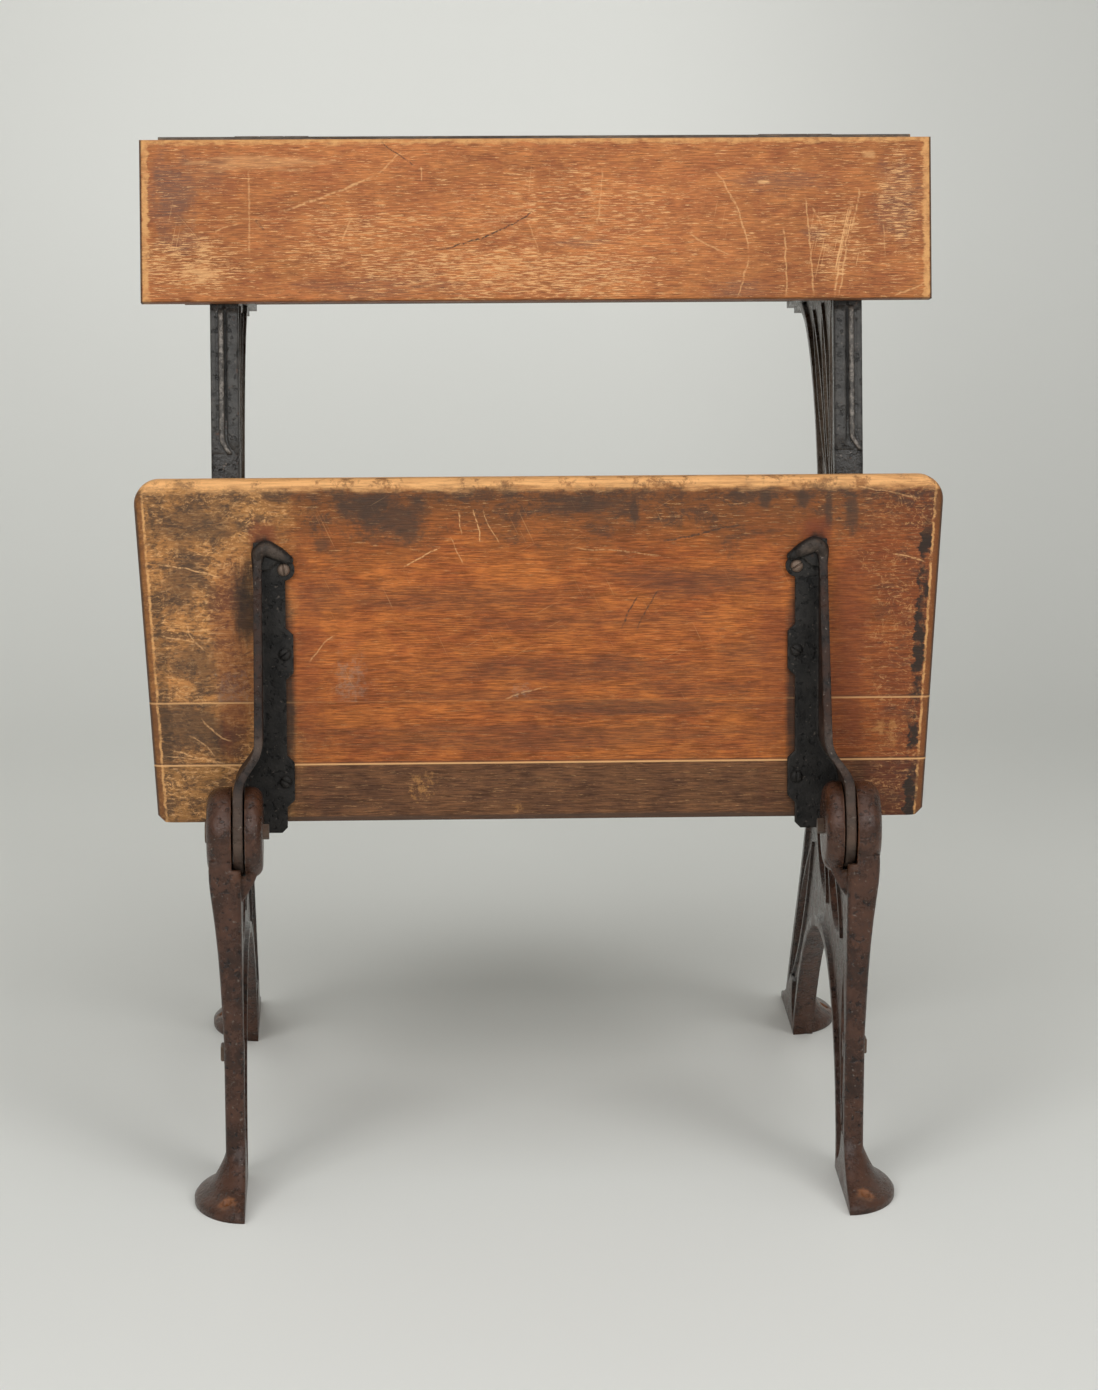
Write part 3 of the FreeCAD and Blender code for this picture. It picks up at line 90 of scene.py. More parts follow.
# Shares of the post's width, and for the slot of the screw head's radius
PANEL_MIDDLE = 0.22
PANEL_HALF = 0.215
BEAD_MIDDLE = 0.62
BEAD_HALF = 0.10
BEAD_BEND_RIGHT = 0.30
BEAD_BEND_LEFT = -0.26
GROOVE_FROM_BEAD = 0.145
GROOVE_HALF = 0.04
SLOT_HALF = 0.14

# Stage: sizes in metres, angles in degrees, and lamps as (name, place, target, size, watts)
FLOOR_FRONT = -9.0
FLOOR_REAR = 1.2
SWEEP_RADIUS = 1.4
WALL_TOP = 7.0
BACKDROP_HALF = 7.0
WORLD_STRENGTH = 0.28
LAMPS = [
    ("left box", (-1.9, -3.1, 2.1), (0, 0, 0.4), (1.6, 1.6), 43),
    ("right box", (2.0, -3.0, 2.0), (0, 0, 0.4), (1.6, 1.6), 38),
    ("front box", (0, -3.2, 2.7), (0, 0, 0.4), (2.0, 1.2), 25),
    ("top box", (0, -0.8, 3.2), (0, 0.1, 0.2), (2.6, 2.0), 19)]
CAMERA_PLACE = (-0.125, -3.3407, 1.104)
CAMERA_DIP = 13.1
CAMERA_TURN = -2.35
LENS = 115.3
SENSOR = 36.0

# Finish colours, linear
BOARD_ORANGE = (0.485, 0.176, 0.054, 1)
BOARD_RED = (0.352, 0.112, 0.037, 1)
BARE_FIBRE = (0.74, 0.41, 0.175, 1)
GOLDEN_RUB = (0.68, 0.355, 0.132, 1)
NOSE_GOLD = (0.84, 0.44, 0.170, 1)
GREY_STAIN = (0.150, 0.078, 0.055, 1)
GRIME = (0.060, 0.036, 0.024, 1)
SEAT_ORANGE = (0.445, 0.134, 0.028, 1)
SEAT_RED = (0.290, 0.076, 0.018, 1)
SEAT_SMEAR = (0.105, 0.040, 0.022, 1)
SEAT_OLIVE = (0.50, 0.238, 0.074, 1)
SEAT_UMBER = (0.20, 0.074, 0.023, 1)
ARM_STAIN = (0.17, 0.040, 0.016, 1)
STRIP_LIGHT = (0.175, 0.075, 0.030, 1)
STRIP_DEEP = (0.104, 0.044, 0.020, 1)
RAIL_GREY = (0.130, 0.105, 0.082, 1)
RAIL_DEEP = (0.060, 0.048, 0.038, 1)
BOX_BROWN = (0.20, 0.090, 0.043, 1)
BOX_DEEP = (0.105, 0.050, 0.028, 1)
RAW_WOOD = (0.40, 0.235, 0.125, 1)
INK = (0.022, 0.019, 0.020, 1)
# soot, and also the colour of the painted shade and shadow beside the seat arms
SOOT_AND_SHADE = (0.026, 0.019, 0.014, 1)
CHALK = (0.30, 0.245, 0.185, 1)
BLACK_PAINT = (0.016, 0.0145, 0.013, 1)
POST_PAINT = (0.033, 0.031, 0.028, 1)
BROWN_PAINT = (0.051, 0.021, 0.0115, 1)
WORN_IRON = (0.17, 0.140, 0.115, 1)
# rubbed bare iron, also a painted highlight on the post beads
BARE_IRON_AND_HIGHLIGHT = (0.34, 0.30, 0.26, 1)
WEB_BROWN = (0.115, 0.082, 0.055, 1)
RUST = (0.110, 0.043, 0.020, 1)
FRESH_RUST = (0.28, 0.105, 0.036, 1)
STEEL_DARK = (0.085, 0.053, 0.036, 1)
STEEL_LIGHT = (0.19, 0.135, 0.10, 1)
# paper near the camera, darker as painted shade
PAPER_NEAR_SHADED = (0.78, 0.785, 0.75, 1)
PAPER_FAR = (0.84, 0.845, 0.80, 1)
PAPER_GLOW = (1.0, 1.0, 0.97, 1)

# Marks, in millimetres: an oval is (x, z, reach x, reach z, raggedness, strength), and a scratch is
# (start x, start z, end x, end z, bow, width, strength)
BOARD_BUNDLES = [
    (227, 38, 15, 46, 0.5, 1.0), (205, 40, 9, 44, 0.6, 0.7), (-262, 60, 20, 40, 1.0, 0.6),
    (145, 50, 26, 40, 1.0, 0.4)]
BOARD_SCRATCHES = [
    (-192, 65, -117, 93, -1.5, 1.2, 0.75), (-117, 93, -98, 110, 0, 0.9, 0.6),
    (-211, 99, -211, 31, 0, 0.9, 0.5), (-85, 99, -84, 87, 0, 0.8, 0.7), (-137, 60, -144, 44, 0, 0.9, 0.6),
    (-237, 51, -218, 57, 1, 0.8, 0.6), (130, 96, 156, 33, 5, 0.9, 0.75), (156, 33, 146, 0, 1, 0.9, 0.65),
    (181, 55, 183, 0, 1, 0.9, 0.7), (197, 79, 203, 0, 1, 0.9, 0.7), (233, 72, 219, 0, -2, 1.1, 0.8),
    (238, 83, 231, 50, 1, 0.9, 0.7), (229, 60, 222, 0, 1, 0.8, 0.7), (203, 68, 211, 51, 0, 0.8, 0.6),
    (111, 50, 144, 32, -2, 0.9, 0.6), (49, 99, 43, 53, 1, 0.9, 0.5), (255, 56, 257, 30, 0, 0.7, 0.5),
    (-8, 60, 2, 30, 1, 0.8, 0.4), (-282, 60.4, 40, 60.0, 0, 0.5, 0.6), (286, 12, 262, 2, 1, 0.9, 0.7)]
BOARD_WORN = [
    (-256, 28, 60, 30, 1.0, 0.34), (-10, 22, 150, 28, 1.0, 0.34), (30, 66, 110, 40, 1.1, 0.2),
    (268, 70, 24, 60, 1.0, 0.3), (222, 42, 26, 40, 0.9, 0.3), (-120, 40, 90, 40, 1.1, 0.24)]
BOARD_STAINS = [
    (-266, 80, 24, 36, 0.8, 0.85), (-240, 92, 24, 20, 1.0, 0.4), (-262, 44, 24, 12, 1.0, 0.5),
    (268, 72, 24, 44, 1.0, 0.55), (180, 88, 44, 12, 1.1, 0.5), (30, 42, 36, 5, 1.0, 0.5),
    (205, 48, 14, 6, 1.0, 0.55), (-110, 10, 80, 12, 1.1, 0.35), (150, 8, 30, 9, 1.0, 0.5)]
BOARD_BARE = [
    (167, 86, 6, 2, 0.4, 1.0), (-247, 20, 16, 8, 1.6, 0.7), (245, 106, 7, 4, 0.6, 0.6),
    (-205, 102, 60, 8, 1.2, 0.4)]
BOARD_DARK_SCRATCHES = [
    (-77, 36.5, 2, 68, -4.5, 0.9, 0.9), (-115, 117, -89, 98, 0, 0.9, 0.8),
    (-207, 60, -200, 52, 0, 1.4, 0.5)]
SEAT_SMEARS = [
    (107, 177, 78, 15, 0.7, 0.9), (-60, 166, 130, 15, 0.9, 0.55), (30, 148, 120, 11, 1.0, 0.45),
    (25, 112, 180, 13, 0.8, 0.6), (-30, 92, 120, 9, 0.9, 0.5), (165, 70, 24, 18, 0.7, 0.6),
    (-160, 168, 34, 24, 0.9, 0.55), (110, 98, 70, 9, 0.9, 0.55), (150, 122, 26, 16, 0.8, 0.6)]
SEAT_DRIPS = [
    (165, 237, 6, 11, 0.3, 0.8), (193, 237, 7, 10, 0.3, 0.8), (212, 230, 4, 20, 0.3, 0.75),
    (229, 227, 7, 20, 0.4, 0.75), (33, 233, 52, 11, 1.0, 0.75), (69, 229, 5, 15, 0.6, 0.8),
    (-128, 232, 26, 15, 1.0, 0.85), (-104, 224, 30, 20, 1.0, 0.75), (-160, 206, 8, 8, 0.5, 0.6),
    (-250, 222, 44, 22, 1.0, 0.6), (-262, 180, 20, 34, 1.0, 0.65), (-255, 118, 28, 26, 1.0, 0.6)]
SEAT_SMUDGES = [
    (-227, 96, 13, 24, 1.6, 0.9), (-221, 86, 11, 11, 1.4, 0.9), (-140, 102, 14, 26, 1.8, 0.5),
    (-15, 97, 9, 7, 1.5, 0.5)]
SEAT_SCRATCHES = [
    (-101, 188, -72, 204, 1, 0.8, 0.9), (-50, 232, -44, 205, 1.5, 0.7, 0.9),
    (-42, 232, -30, 205, -1, 0.6, 0.7), (-60, 230, -58, 212, 0, 0.7, 0.8),
    (-282, 192, -232, 182, 1, 0.8, 0.9), (-280, 140, -250, 134, 0, 0.7, 0.8),
    (-112, 62, -62, 54, 5, 0.8, 0.9), (-66, 212, -56, 190, 0, 0.6, 0.6), (-28, 90, 6, 100, 1, 0.8, 0.5),
    (-170, 118, -150, 140, 2, 0.8, 0.6), (20, 202, 90, 196, 1, 0.8, 0.5),
    (258, 196, 284, 188, 2, 0.9, 0.7), (230, 246, 280, 236, 1, 0.8, 0.7),
    (-260, 150, -246, 128, -3, 0.9, 0.6)]
SEAT_DARK_SCRATCHES = [
    (58, 142, 72, 168, 0, 0.9, 0.8), (70, 140, 88, 172, 1, 0.9, 0.7), (85, 205, 150, 219, 0, 1.1, 0.8)]
ARM_RED = [(203, 212, 14, 15, 0.6, 0.8), (172, 110, 16, 110, 0.7, 0.35), (226, 120, 20, 100, 0.8, 0.5)]
# dirt by the arm tips, and painted contact shade along the inner edge of each arm plate
ARM_DIRT_AND_SHADE = [(187, 95, 9, 115, 0.3, 0.85), (203, 204, 10, 11, 0.4, 0.95)]
# painted shadow on the seat to the left of the left arm
ARM_SHADOW = [(-216, 162, 13, 46, 0.6, 0.85)]
STRIP_MARKS = [
    (-88, 26, 13, 10, 1.8, 0.5), (-84, 32, 6, 7, 1.4, 0.5), (-18, 10, 5, 4, 1.0, 0.4),
    (-250, 70, 24, 14, 1.1, 0.4), (255, 66, 20, 14, 1.1, 0.4)]
STRIP_DIRT = [
    (288, 16, 14, 26, 0.6, 0.9), (60, 3, 230, 4, 0.8, 0.8), (-150, 3, 140, 4, 0.8, 0.8),
    (-258, 72, 46, 36, 1.0, 0.75), (60, 84, 120, 9, 0.9, 0.5), (0, 62, 210, 15, 1.2, 0.35)]
STRIP_SCRATCHES = [
    (-276, 58, -205, 34, 0, 0.8, 0.7), (-280, 52, -215, 42, 1, 0.7, 0.6),
    (-250, 80, -226, 62, -3, 0.9, 0.6), (-260, 66, -240, 50, 3, 0.8, 0.5)]
LID_RUBBED = [(0, 250, 260, 120, 0.8, 0.6), (-60, 330, 240, 30, 0.8, 0.5)]
LID_BLOTS = [
    (120, 110, 22, 16, 0.7, 0.9), (148, 96, 7, 7, 0.5, 0.9), (-40, 190, 12, 9, 0.8, 0.7),
    (60, 240, 9, 12, 0.8, 0.6), (-170, 150, 16, 12, 0.8, 0.5)]


# Node shorthand

class Sheet:
    """Short ways of adding nodes to one node tree."""

    def __init__(self, tree):
        self.tree = tree

    def feed(self, socket, value):
        """Link a socket to another, or set its value."""
        if isinstance(value, bpy.types.NodeSocket):
            self.tree.links.new(value, socket)
        else:
            socket.default_value = value

    def add(self, kind, inputs, **settings):
        """Node of a kind with its settings and inputs."""
        node = self.tree.nodes.new("ShaderNode" + kind)
        for name, value in settings.items():
            setattr(node, name, value)
        for key, value in inputs.items():
            self.feed(node.inputs[key], value)
        return node

    def math(self, operation, first, second=0.0):
        return self.add("Math", {0: first, 1: second}, operation=operation).outputs[0]

    def plus(self, first, second):
        return self.math("ADD", first, second)

    def minus(self, first, second):
        return self.math("SUBTRACT", first, second)

    def ratio(self, first, second):
        return self.math("DIVIDE", first, second)

    def root(self, value):
        return self.math("SQRT", value)

    def size(self, value):
        """A value without its sign."""
        return self.math("ABSOLUTE", value)

    def times(self, *values):
        product = values[0]
        for value in values[1:]:
            product = self.math("MULTIPLY", product, value)
        return product

    def most(self, *values):
        strongest = values[0]
        for value in values[1:]:
            strongest = self.math("MAXIMUM", strongest, value)
        return strongest

    def step(self, value, low, high):
        """Smooth rise from 0 at low to 1 at high; a fall where low is the greater."""
        inputs = {"Value": value, "From Min": low, "From Max": high}
        return self.add("MapRange", inputs, interpolation_type="SMOOTHSTEP").outputs[0]

    def band(self, value, low, high, soft):
        """1 between low and high, 0 beyond a soft border on either side."""
        return self.times(self.step(value, low - soft, low), self.step(value, high + soft, high))

    def span(self, value, low, high):
        """Value from 0 to 1 spread linearly from low to high."""
        return self.add("MapRange", {"Value": value, "To Min": low, "To Max": high}).outputs[0]

    def blend(self, share, first, second):
        """First colour where the share is 0, second where it is 1."""
        return self.add("Mix", {0: share, 6: first, 7: second}, data_type="RGBA").outputs[2]

    def shade(self, colour, tone):
        """Colour multiplied by a value."""
        inputs = {0: 1.0, 6: colour, 7: self.joined(tone, tone, tone)}
        return self.add("Mix", inputs, data_type="RGBA", blend_type="MULTIPLY").outputs[2]

    def stretch(self, vector, factors):
        return self.add("VectorMath", {0: vector, 1: factors}, operation="MULTIPLY").outputs[0]

    def noise(self, vector, scale, detail=3.0, roughness=0.55, distortion=0.0):
        inputs = {"Vector": vector, "Scale": scale, "Detail": detail, "Roughness": roughness,
                  "Distortion": distortion}
        return self.add("TexNoise", inputs).outputs[0]

    def grain_noise(self, vector, along, across, detail, roughness, distortion=0.0):
        """Noise drawn out along X."""
        drawn_out = self.stretch(vector, (along, across, across))
        return self.noise(drawn_out, 1.0, detail, roughness, distortion)

    def parts(self, vector):
        return self.add("SeparateXYZ", {0: vector}).outputs

    def joined(self, x, y, z):
        return self.add("CombineXYZ", {0: x, 1: y, 2: z}).outputs[0]

    def use(self, tree, inputs):
        """Place a node group and give its outputs."""
        return self.add("Group", inputs, node_tree=tree).outputs


FLOAT = "NodeSocketFloat"
VECTOR = "NodeSocketVector"


def new_group(name, *floats):
    """Shader group with a vector and some floats to put in; gives its sheet and those inputs."""
    tree = bpy.data.node_groups.new(name, "ShaderNodeTree")
    tree.interface.new_socket("Vector", in_out="INPUT", socket_type=VECTOR)
    for label in floats:
        tree.interface.new_socket(label, in_out="INPUT", socket_type=FLOAT)
    return Sheet(tree), tree.nodes.new("NodeGroupInput").outputs


def closed_group(sheet, **outputs):
    """Give the group of a sheet its named outputs."""
    for label, value in outputs.items():
        kind = VECTOR if value.type == "VECTOR" else FLOAT
        sheet.tree.interface.new_socket(label, in_out="OUTPUT", socket_type=kind)
    leave = sheet.tree.nodes.new("NodeGroupOutput").inputs
    for label, value in outputs.items():
        sheet.feed(leave[label], value)
    return sheet.tree


# Shared effects

def grain_group():
    """Plank with its grain along X: fine fibres, soft clouds, broad figure, dark open pores, and worn dashes
    that thicken where the cover is high."""
    sheet, entry = new_group("plank grain", "Fineness", "Cover")
    scaled = {0: entry["Vector"], "Scale": entry["Fineness"]}
    vector = sheet.add("VectorMath", scaled, operation="SCALE").outputs[0]
    fine = sheet.grain_noise(vector, 75, 1150, 3.0, 0.64, 0.15)
    coarse = sheet.grain_noise(vector, 36, 620, 4.0, 0.64, 0.3)
    cloud = sheet.grain_noise(vector, 30, 66, 7.0, 0.70, 0.5)
    figure = sheet.grain_noise(vector, 3.2, 15, 4.0, 0.58, 0.4)
    pore = sheet.grain_noise(vector, 95, 1500, 2.0, 0.55)
    dash = sheet.grain_noise(vector, 92, 1120, 5.0, 0.74, 0.2)
    thick = sheet.plus(dash, sheet.times(entry["Cover"], 0.22))
    fibre = sheet.plus(sheet.times(fine, 0.72), sheet.times(coarse, 0.28))
    return closed_group(
        sheet, Fibre=sheet.step(fibre, 0.37, 0.63), Cloud=sheet.step(cloud, 0.34, 0.66),
        Figure=sheet.step(figure, 0.34, 0.66), Pore=sheet.step(pore, 0.60, 0.70),
        Dash=sheet.step(thick, 0.65, 0.69))


def mottle_group():
    """Dirt and wear across the grain: ragged blotches, pale speckle, dark grit and thin crazed lines."""
    sheet, entry = new_group("surface mottle", "Cover")
    cloud = sheet.grain_noise(entry["Vector"], 30, 54, 9.0, 0.80, 0.5)
    fine = sheet.grain_noise(entry["Vector"], 190, 470, 4.0, 0.68)
    crack = sheet.grain_noise(entry["Vector"], 46, 70, 4.0, 0.62, 1.2)
    thick = sheet.plus(cloud, sheet.times(entry["Cover"], 0.22))
    apart = sheet.size(sheet.minus(crack, 0.5))
    broken = sheet.step(fine, 0.42, 0.54)
    return closed_group(
        sheet, Blotch=sheet.step(thick, 0.55, 0.65), Speckle=sheet.step(fine, 0.54, 0.66),
        Grit=sheet.step(fine, 0.46, 0.35), Craze=sheet.times(sheet.step(apart, 0.016, 0.005), broken))


def hatch_group():
    """Fine straight scoring in one direction, turned about Y: short lines thinned out by a cover."""
    sheet, entry = new_group("fine scoring", "Turn", "Cover")
    turned = sheet.add("VectorRotate", {"Vector": entry["Vector"], "Angle": entry["Turn"]},
                       rotation_type="Y_AXIS").outputs[0]
    line = sheet.grain_noise(turned, 17, 900, 2.0, 0.5)
    thick = sheet.plus(line, sheet.times(entry["Cover"], 0.14))
    return closed_group(sheet, Mask=sheet.step(thick, 0.705, 0.765))


LINE_SIZES = ("Start X", "Start Z", "End X", "End Z", "Bow", "Width")


def scratch_group():
    """Bowed line from a start to an end point in X and Z, broken along its length and fading at its ends."""
    sheet, entry = new_group("scratch", *LINE_SIZES, "Strength")
    x, _, z = sheet.parts(entry["Vector"])
    run_x = sheet.minus(entry["End X"], entry["Start X"])
    run_z = sheet.minus(entry["End Z"], entry["Start Z"])
    from_x = sheet.minus(x, entry["Start X"])
    from_z = sheet.minus(z, entry["Start Z"])
    square = sheet.plus(sheet.times(run_x, run_x), sheet.times(run_z, run_z))
    dot = sheet.plus(sheet.times(from_x, run_x), sheet.times(from_z, run_z))
    cross = sheet.minus(sheet.times(from_x, run_z), sheet.times(from_z, run_x))
    along = sheet.ratio(dot, square)
    aside = sheet.ratio(cross, sheet.root(square))
    bow = sheet.times(along, sheet.minus(1.0, along), 4.0, entry["Bow"])
    wander = sheet.times(sheet.minus(sheet.noise(entry["Vector"], 90.0, 2.0), 0.5), 0.004)
    offset = sheet.plus(sheet.plus(aside, bow), wander)
    share = sheet.ratio(sheet.size(offset), entry["Width"])
    ends = sheet.times(sheet.step(along, 0.0, 0.15), sheet.step(along, 1.0, 0.85))
    broken = sheet.span(sheet.step(sheet.noise(entry["Vector"], 420.0, 2.0), 0.34, 0.56), 0.2, 1.0)
    line = sheet.step(share, 1.0, 0.3)
    return closed_group(sheet, Mask=sheet.times(line, ends, broken, entry["Strength"]))


def patch_group():
    """Soft oval about a centre in X and Z, its border torn by a cloud drawn out as the oval is."""
    sheet, entry = new_group("patch", "X", "Z", "Reach X", "Reach Z", "Ragged", "Strength")
    x, _, z = sheet.parts(entry["Vector"])
    across = sheet.ratio(sheet.minus(x, entry["X"]), entry["Reach X"])
    up = sheet.ratio(sheet.minus(z, entry["Z"]), entry["Reach Z"])
    distance = sheet.root(sheet.plus(sheet.times(across, across), sheet.times(up, up)))
    cloud_x = sheet.plus(across, sheet.times(entry["X"], 300.0))
    cloud_z = sheet.plus(up, sheet.times(entry["Z"], 170.0))
    cloud = sheet.noise(sheet.joined(cloud_x, 0.0, cloud_z), 1.7, 6.0, 0.66)
    torn = sheet.times(sheet.minus(cloud, 0.5), entry["Ragged"], 2.2)
    mask = sheet.step(sheet.plus(distance, torn), 1.0, 0.35)
    return closed_group(sheet, Mask=sheet.times(mask, entry["Strength"]))


def casting_group():
    """Sand-cast skin: broad mottle, rust freckles, flecks of chipped paint, pits and a pitted height."""
    sheet, entry = new_group("cast skin", "Rust")
    mottle = sheet.noise(entry["Vector"], 62.0, 6.0, 0.68)
    fine = sheet.noise(entry["Vector"], 340.0, 4.0, 0.65)
    cloud = sheet.noise(entry["Vector"], 150.0, 6.0, 0.74)
    edge = sheet.span(entry["Rust"], 0.69, 0.42)
    pit = sheet.step(sheet.noise(entry["Vector"], 210.0, 3.0), 0.58, 0.66)
    rough = sheet.plus(sheet.times(mottle, 0.7), sheet.times(fine, 0.5))
    chip = sheet.step(sheet.noise(entry["Vector"], 330.0, 3.0, 0.6), 0.65, 0.70)
    return closed_group(
        sheet, Mottle=sheet.step(mottle, 0.32, 0.68), Freckle=sheet.step(cloud, edge, sheet.plus(edge, 0.13)),
        Chip=chip, Pit=pit, Height=sheet.minus(rough, sheet.times(pit, 0.4)))


def arris_group():
    """Rubbed edges: where the rounded normal departs from the face's own, broken up by noise. It also gives
    that rounded normal."""
    sheet, entry = new_group("rubbed arris", "Radius")
    rounded = sheet.add("Bevel", {"Radius": entry["Radius"]}, samples=6).outputs[0]
    plain = sheet.add("NewGeometry", {}).outputs["Normal"]
    match = sheet.add("VectorMath", {0: rounded, 1: plain}, operation="DOT_PRODUCT").outputs["Value"]
    broken = sheet.step(sheet.noise(entry["Vector"], 150.0, 4.0, 0.65), 0.40, 0.62)
    return closed_group(sheet, Mask=sheet.times(sheet.step(match, 0.985, 0.80), broken), Rounded=rounded)


GRAIN = grain_group()
MOTTLE = mottle_group()
HATCH = hatch_group()
SCRATCH = scratch_group()
PATCH = patch_group()
CASTING = casting_group()
ARRIS = arris_group()


# Material building blocks

class Finish(Sheet):
    """Sheet of a material under construction, with its Principled shader and its surface coordinates.

    raw is in the shared frame, place in a piece's own leaning frame, and along has X with the grain. Where a
    finish sets it, rounded is a normal that softens the edges."""

    def __init__(self, name, turn=0.0, origin=(0.0, 0.0), quarter=False):
        self.material = bpy.data.materials.new(name)
        self.material.use_nodes = True
        super().__init__(self.material.node_tree)
        self.shader = self.tree.nodes["Principled BSDF"]
        self.raw = self.add("TexCoord", {}).outputs["Object"]
        y, z = origin
        flat = (0.0, z * math.sin(turn) - y * math.cos(turn), -y * math.sin(turn) - z * math.cos(turn))
        mapping = {"Vector": self.raw, "Location": flat, "Rotation": (turn, 0.0, 0.0)}
        self.place = self.add("Mapping", mapping).outputs[0]
        quarter_turn = {"Vector": self.place, "Rotation": (0.0, 0.0, math.radians(90))}
        self.along = self.add("Mapping", quarter_turn).outputs[0] if quarter else self.place
        self.colour = None
        self.rounded = None

    def grain(self, fineness, cover):
        return self.use(GRAIN, {"Vector": self.along, "Fineness": fineness, "Cover": cover})

    def mottle(self, cover):
        return self.use(MOTTLE, {"Vector": self.along, "Cover": cover})

    def hatch(self, degrees, cover):
        inputs = {"Vector": self.place, "Turn": math.radians(degrees), "Cover": cover}
        return self.use(HATCH, inputs)["Mask"]

    def scratches(self, lines):
        """Strongest of several scratches at each point."""
        strongest = 0.0
        for line in lines:
            inputs = {name: value * MM for name, value in zip(LINE_SIZES, line)}
            inputs.update({"Vector": self.place, "Strength": line[6]})
            strongest = self.most(self.use(SCRATCH, inputs)["Mask"], strongest)
        return strongest

    def patches(self, ovals, vector=None):
        """Strongest of several ovals at each point, laid out on a vector's X and Z."""
        strongest = 0.0
        for x, z, reach_x, reach_z, torn, strength in ovals:
            inputs = {"Vector": vector or self.place, "X": x * MM, "Z": z * MM, "Reach X": reach_x * MM,
                      "Reach Z": reach_z * MM, "Ragged": torn, "Strength": strength}
            strongest = self.most(self.use(PATCH, inputs)["Mask"], strongest)
        return strongest

    def layer(self, above, *shares):
        """Lay another colour over the one so far, by the product of some shares."""
        self.colour = self.blend(self.times(*shares), self.colour, above)

    def tone(self, value):
        """Multiply the colour so far by a value."""
        self.colour = self.shade(self.colour, value)

    def done(self, roughness, height, depth, specular):
        """Feed the shader: colour, roughness, and a bump of some depth from a height."""
        bump = self.add("Bump", {"Height": height, "Distance": depth, "Strength": 0.6})
        if self.rounded:
            self.feed(bump.inputs["Normal"], self.rounded)
        self.shader.inputs["Specular IOR Level"].default_value = specular
        self.feed(self.shader.inputs["Base Color"], self.colour)
        self.feed(self.shader.inputs["Roughness"], roughness)
        self.feed(self.shader.inputs["Normal"], bump.outputs[0])
        return self.material


# Wood finishes

def plank(finish, light, deep, cover, fineness=1.0, contrast=0.4):
    """Varnished plank: clouded between two colours and shaded along its fibres. Gives the grain's masks."""
    grain = finish.grain(fineness, cover)
    finish.colour = finish.blend(grain["Cloud"], deep, light)
    finish.tone(finish.span(grain["Fibre"], 1.0 - contrast, 1.0 + contrast))
    finish.tone(finish.span(grain["Figure"], 0.88, 1.10))
    finish.tone(finish.span(grain["Pore"], 1.0, 0.55))
    return grain


def ragged(finish, reach):
    """Length between minus and plus half the reach that wanders over the surface."""
    cloud = finish.grain_noise(finish.place, 70, 190, 5.0, 0.68)
    return finish.times(finish.minus(cloud, 0.5), reach)


def board_wear(finish):
    """Scuffs of the front board: scored bundles, single long scratches and a faint scoring all over."""
    bundles = finish.patches(BOARD_BUNDLES)
    scored = finish.times(finish.hatch(78, bundles), bundles)
    crossed = [finish.hatch(degrees, 0.0) for degrees in (25, -50, 84)]
    faint = finish.times(finish.most(*crossed), 0.4)
    return finish.most(finish.scratches(BOARD_SCRATCHES), scored, faint)


def front_board_finish():
    """Orange-brown varnish worn to bare fibre in dashes, golden at the top and ends, stained at the ends."""
    finish = Finish("front board varnish", BOX_TILT, BOARD_FOOT)
    x, _, z = finish.parts(finish.place)
    from_end = finish.minus(BOARD_HALF, finish.size(x))
    worn = finish.patches(BOARD_WORN)
    grain = plank(finish, BOARD_ORANGE, BOARD_RED, finish.plus(worn, 0.32), contrast=0.32)
    towards_end = finish.step(finish.size(x), 0.05, 0.26)
    finish.tone(finish.span(towards_end, 1.0, 0.84))
    finish.layer(GREY_STAIN, finish.patches(BOARD_STAINS), finish.span(grain["Fibre"], 1.0, 0.5))
    finish.layer(BARE_FIBRE, grain["Dash"], 0.85)
    finish.layer(BARE_FIBRE, finish.patches(BOARD_BARE), finish.span(grain["Fibre"], 0.6, 1.0))
    wander = ragged(finish, 0.014)
    top = finish.step(finish.plus(finish.minus(BOARD_HEIGHT, z), wander), 0.0052, 0.0018)
    strip = finish.band(finish.plus(from_end, finish.times(wander, 0.9)), 0.0020, 0.0052, 0.0018)
    broken = finish.span(finish.step(finish.noise(finish.place, 120.0, 5.0, 0.7), 0.36, 0.6), 0.35, 0.9)
    finish.layer(GOLDEN_RUB, finish.most(top, strip), broken)
    finish.layer(BARE_FIBRE, board_wear(finish), 0.8)
    finish.layer(GRIME, finish.scratches(BOARD_DARK_SCRATCHES))
    finish.layer(GRIME, finish.step(from_end, 0.0020, 0.0010), 0.85)
    finish.layer(GRIME, finish.step(z, 0.0014, 0.0004), 0.5)
    roughness = finish.plus(finish.span(grain["Fibre"], 0.44, 0.56), finish.times(top, 0.1))
    return finish.done(roughness, grain["Fibre"], depth=0.0002, specular=0.2)


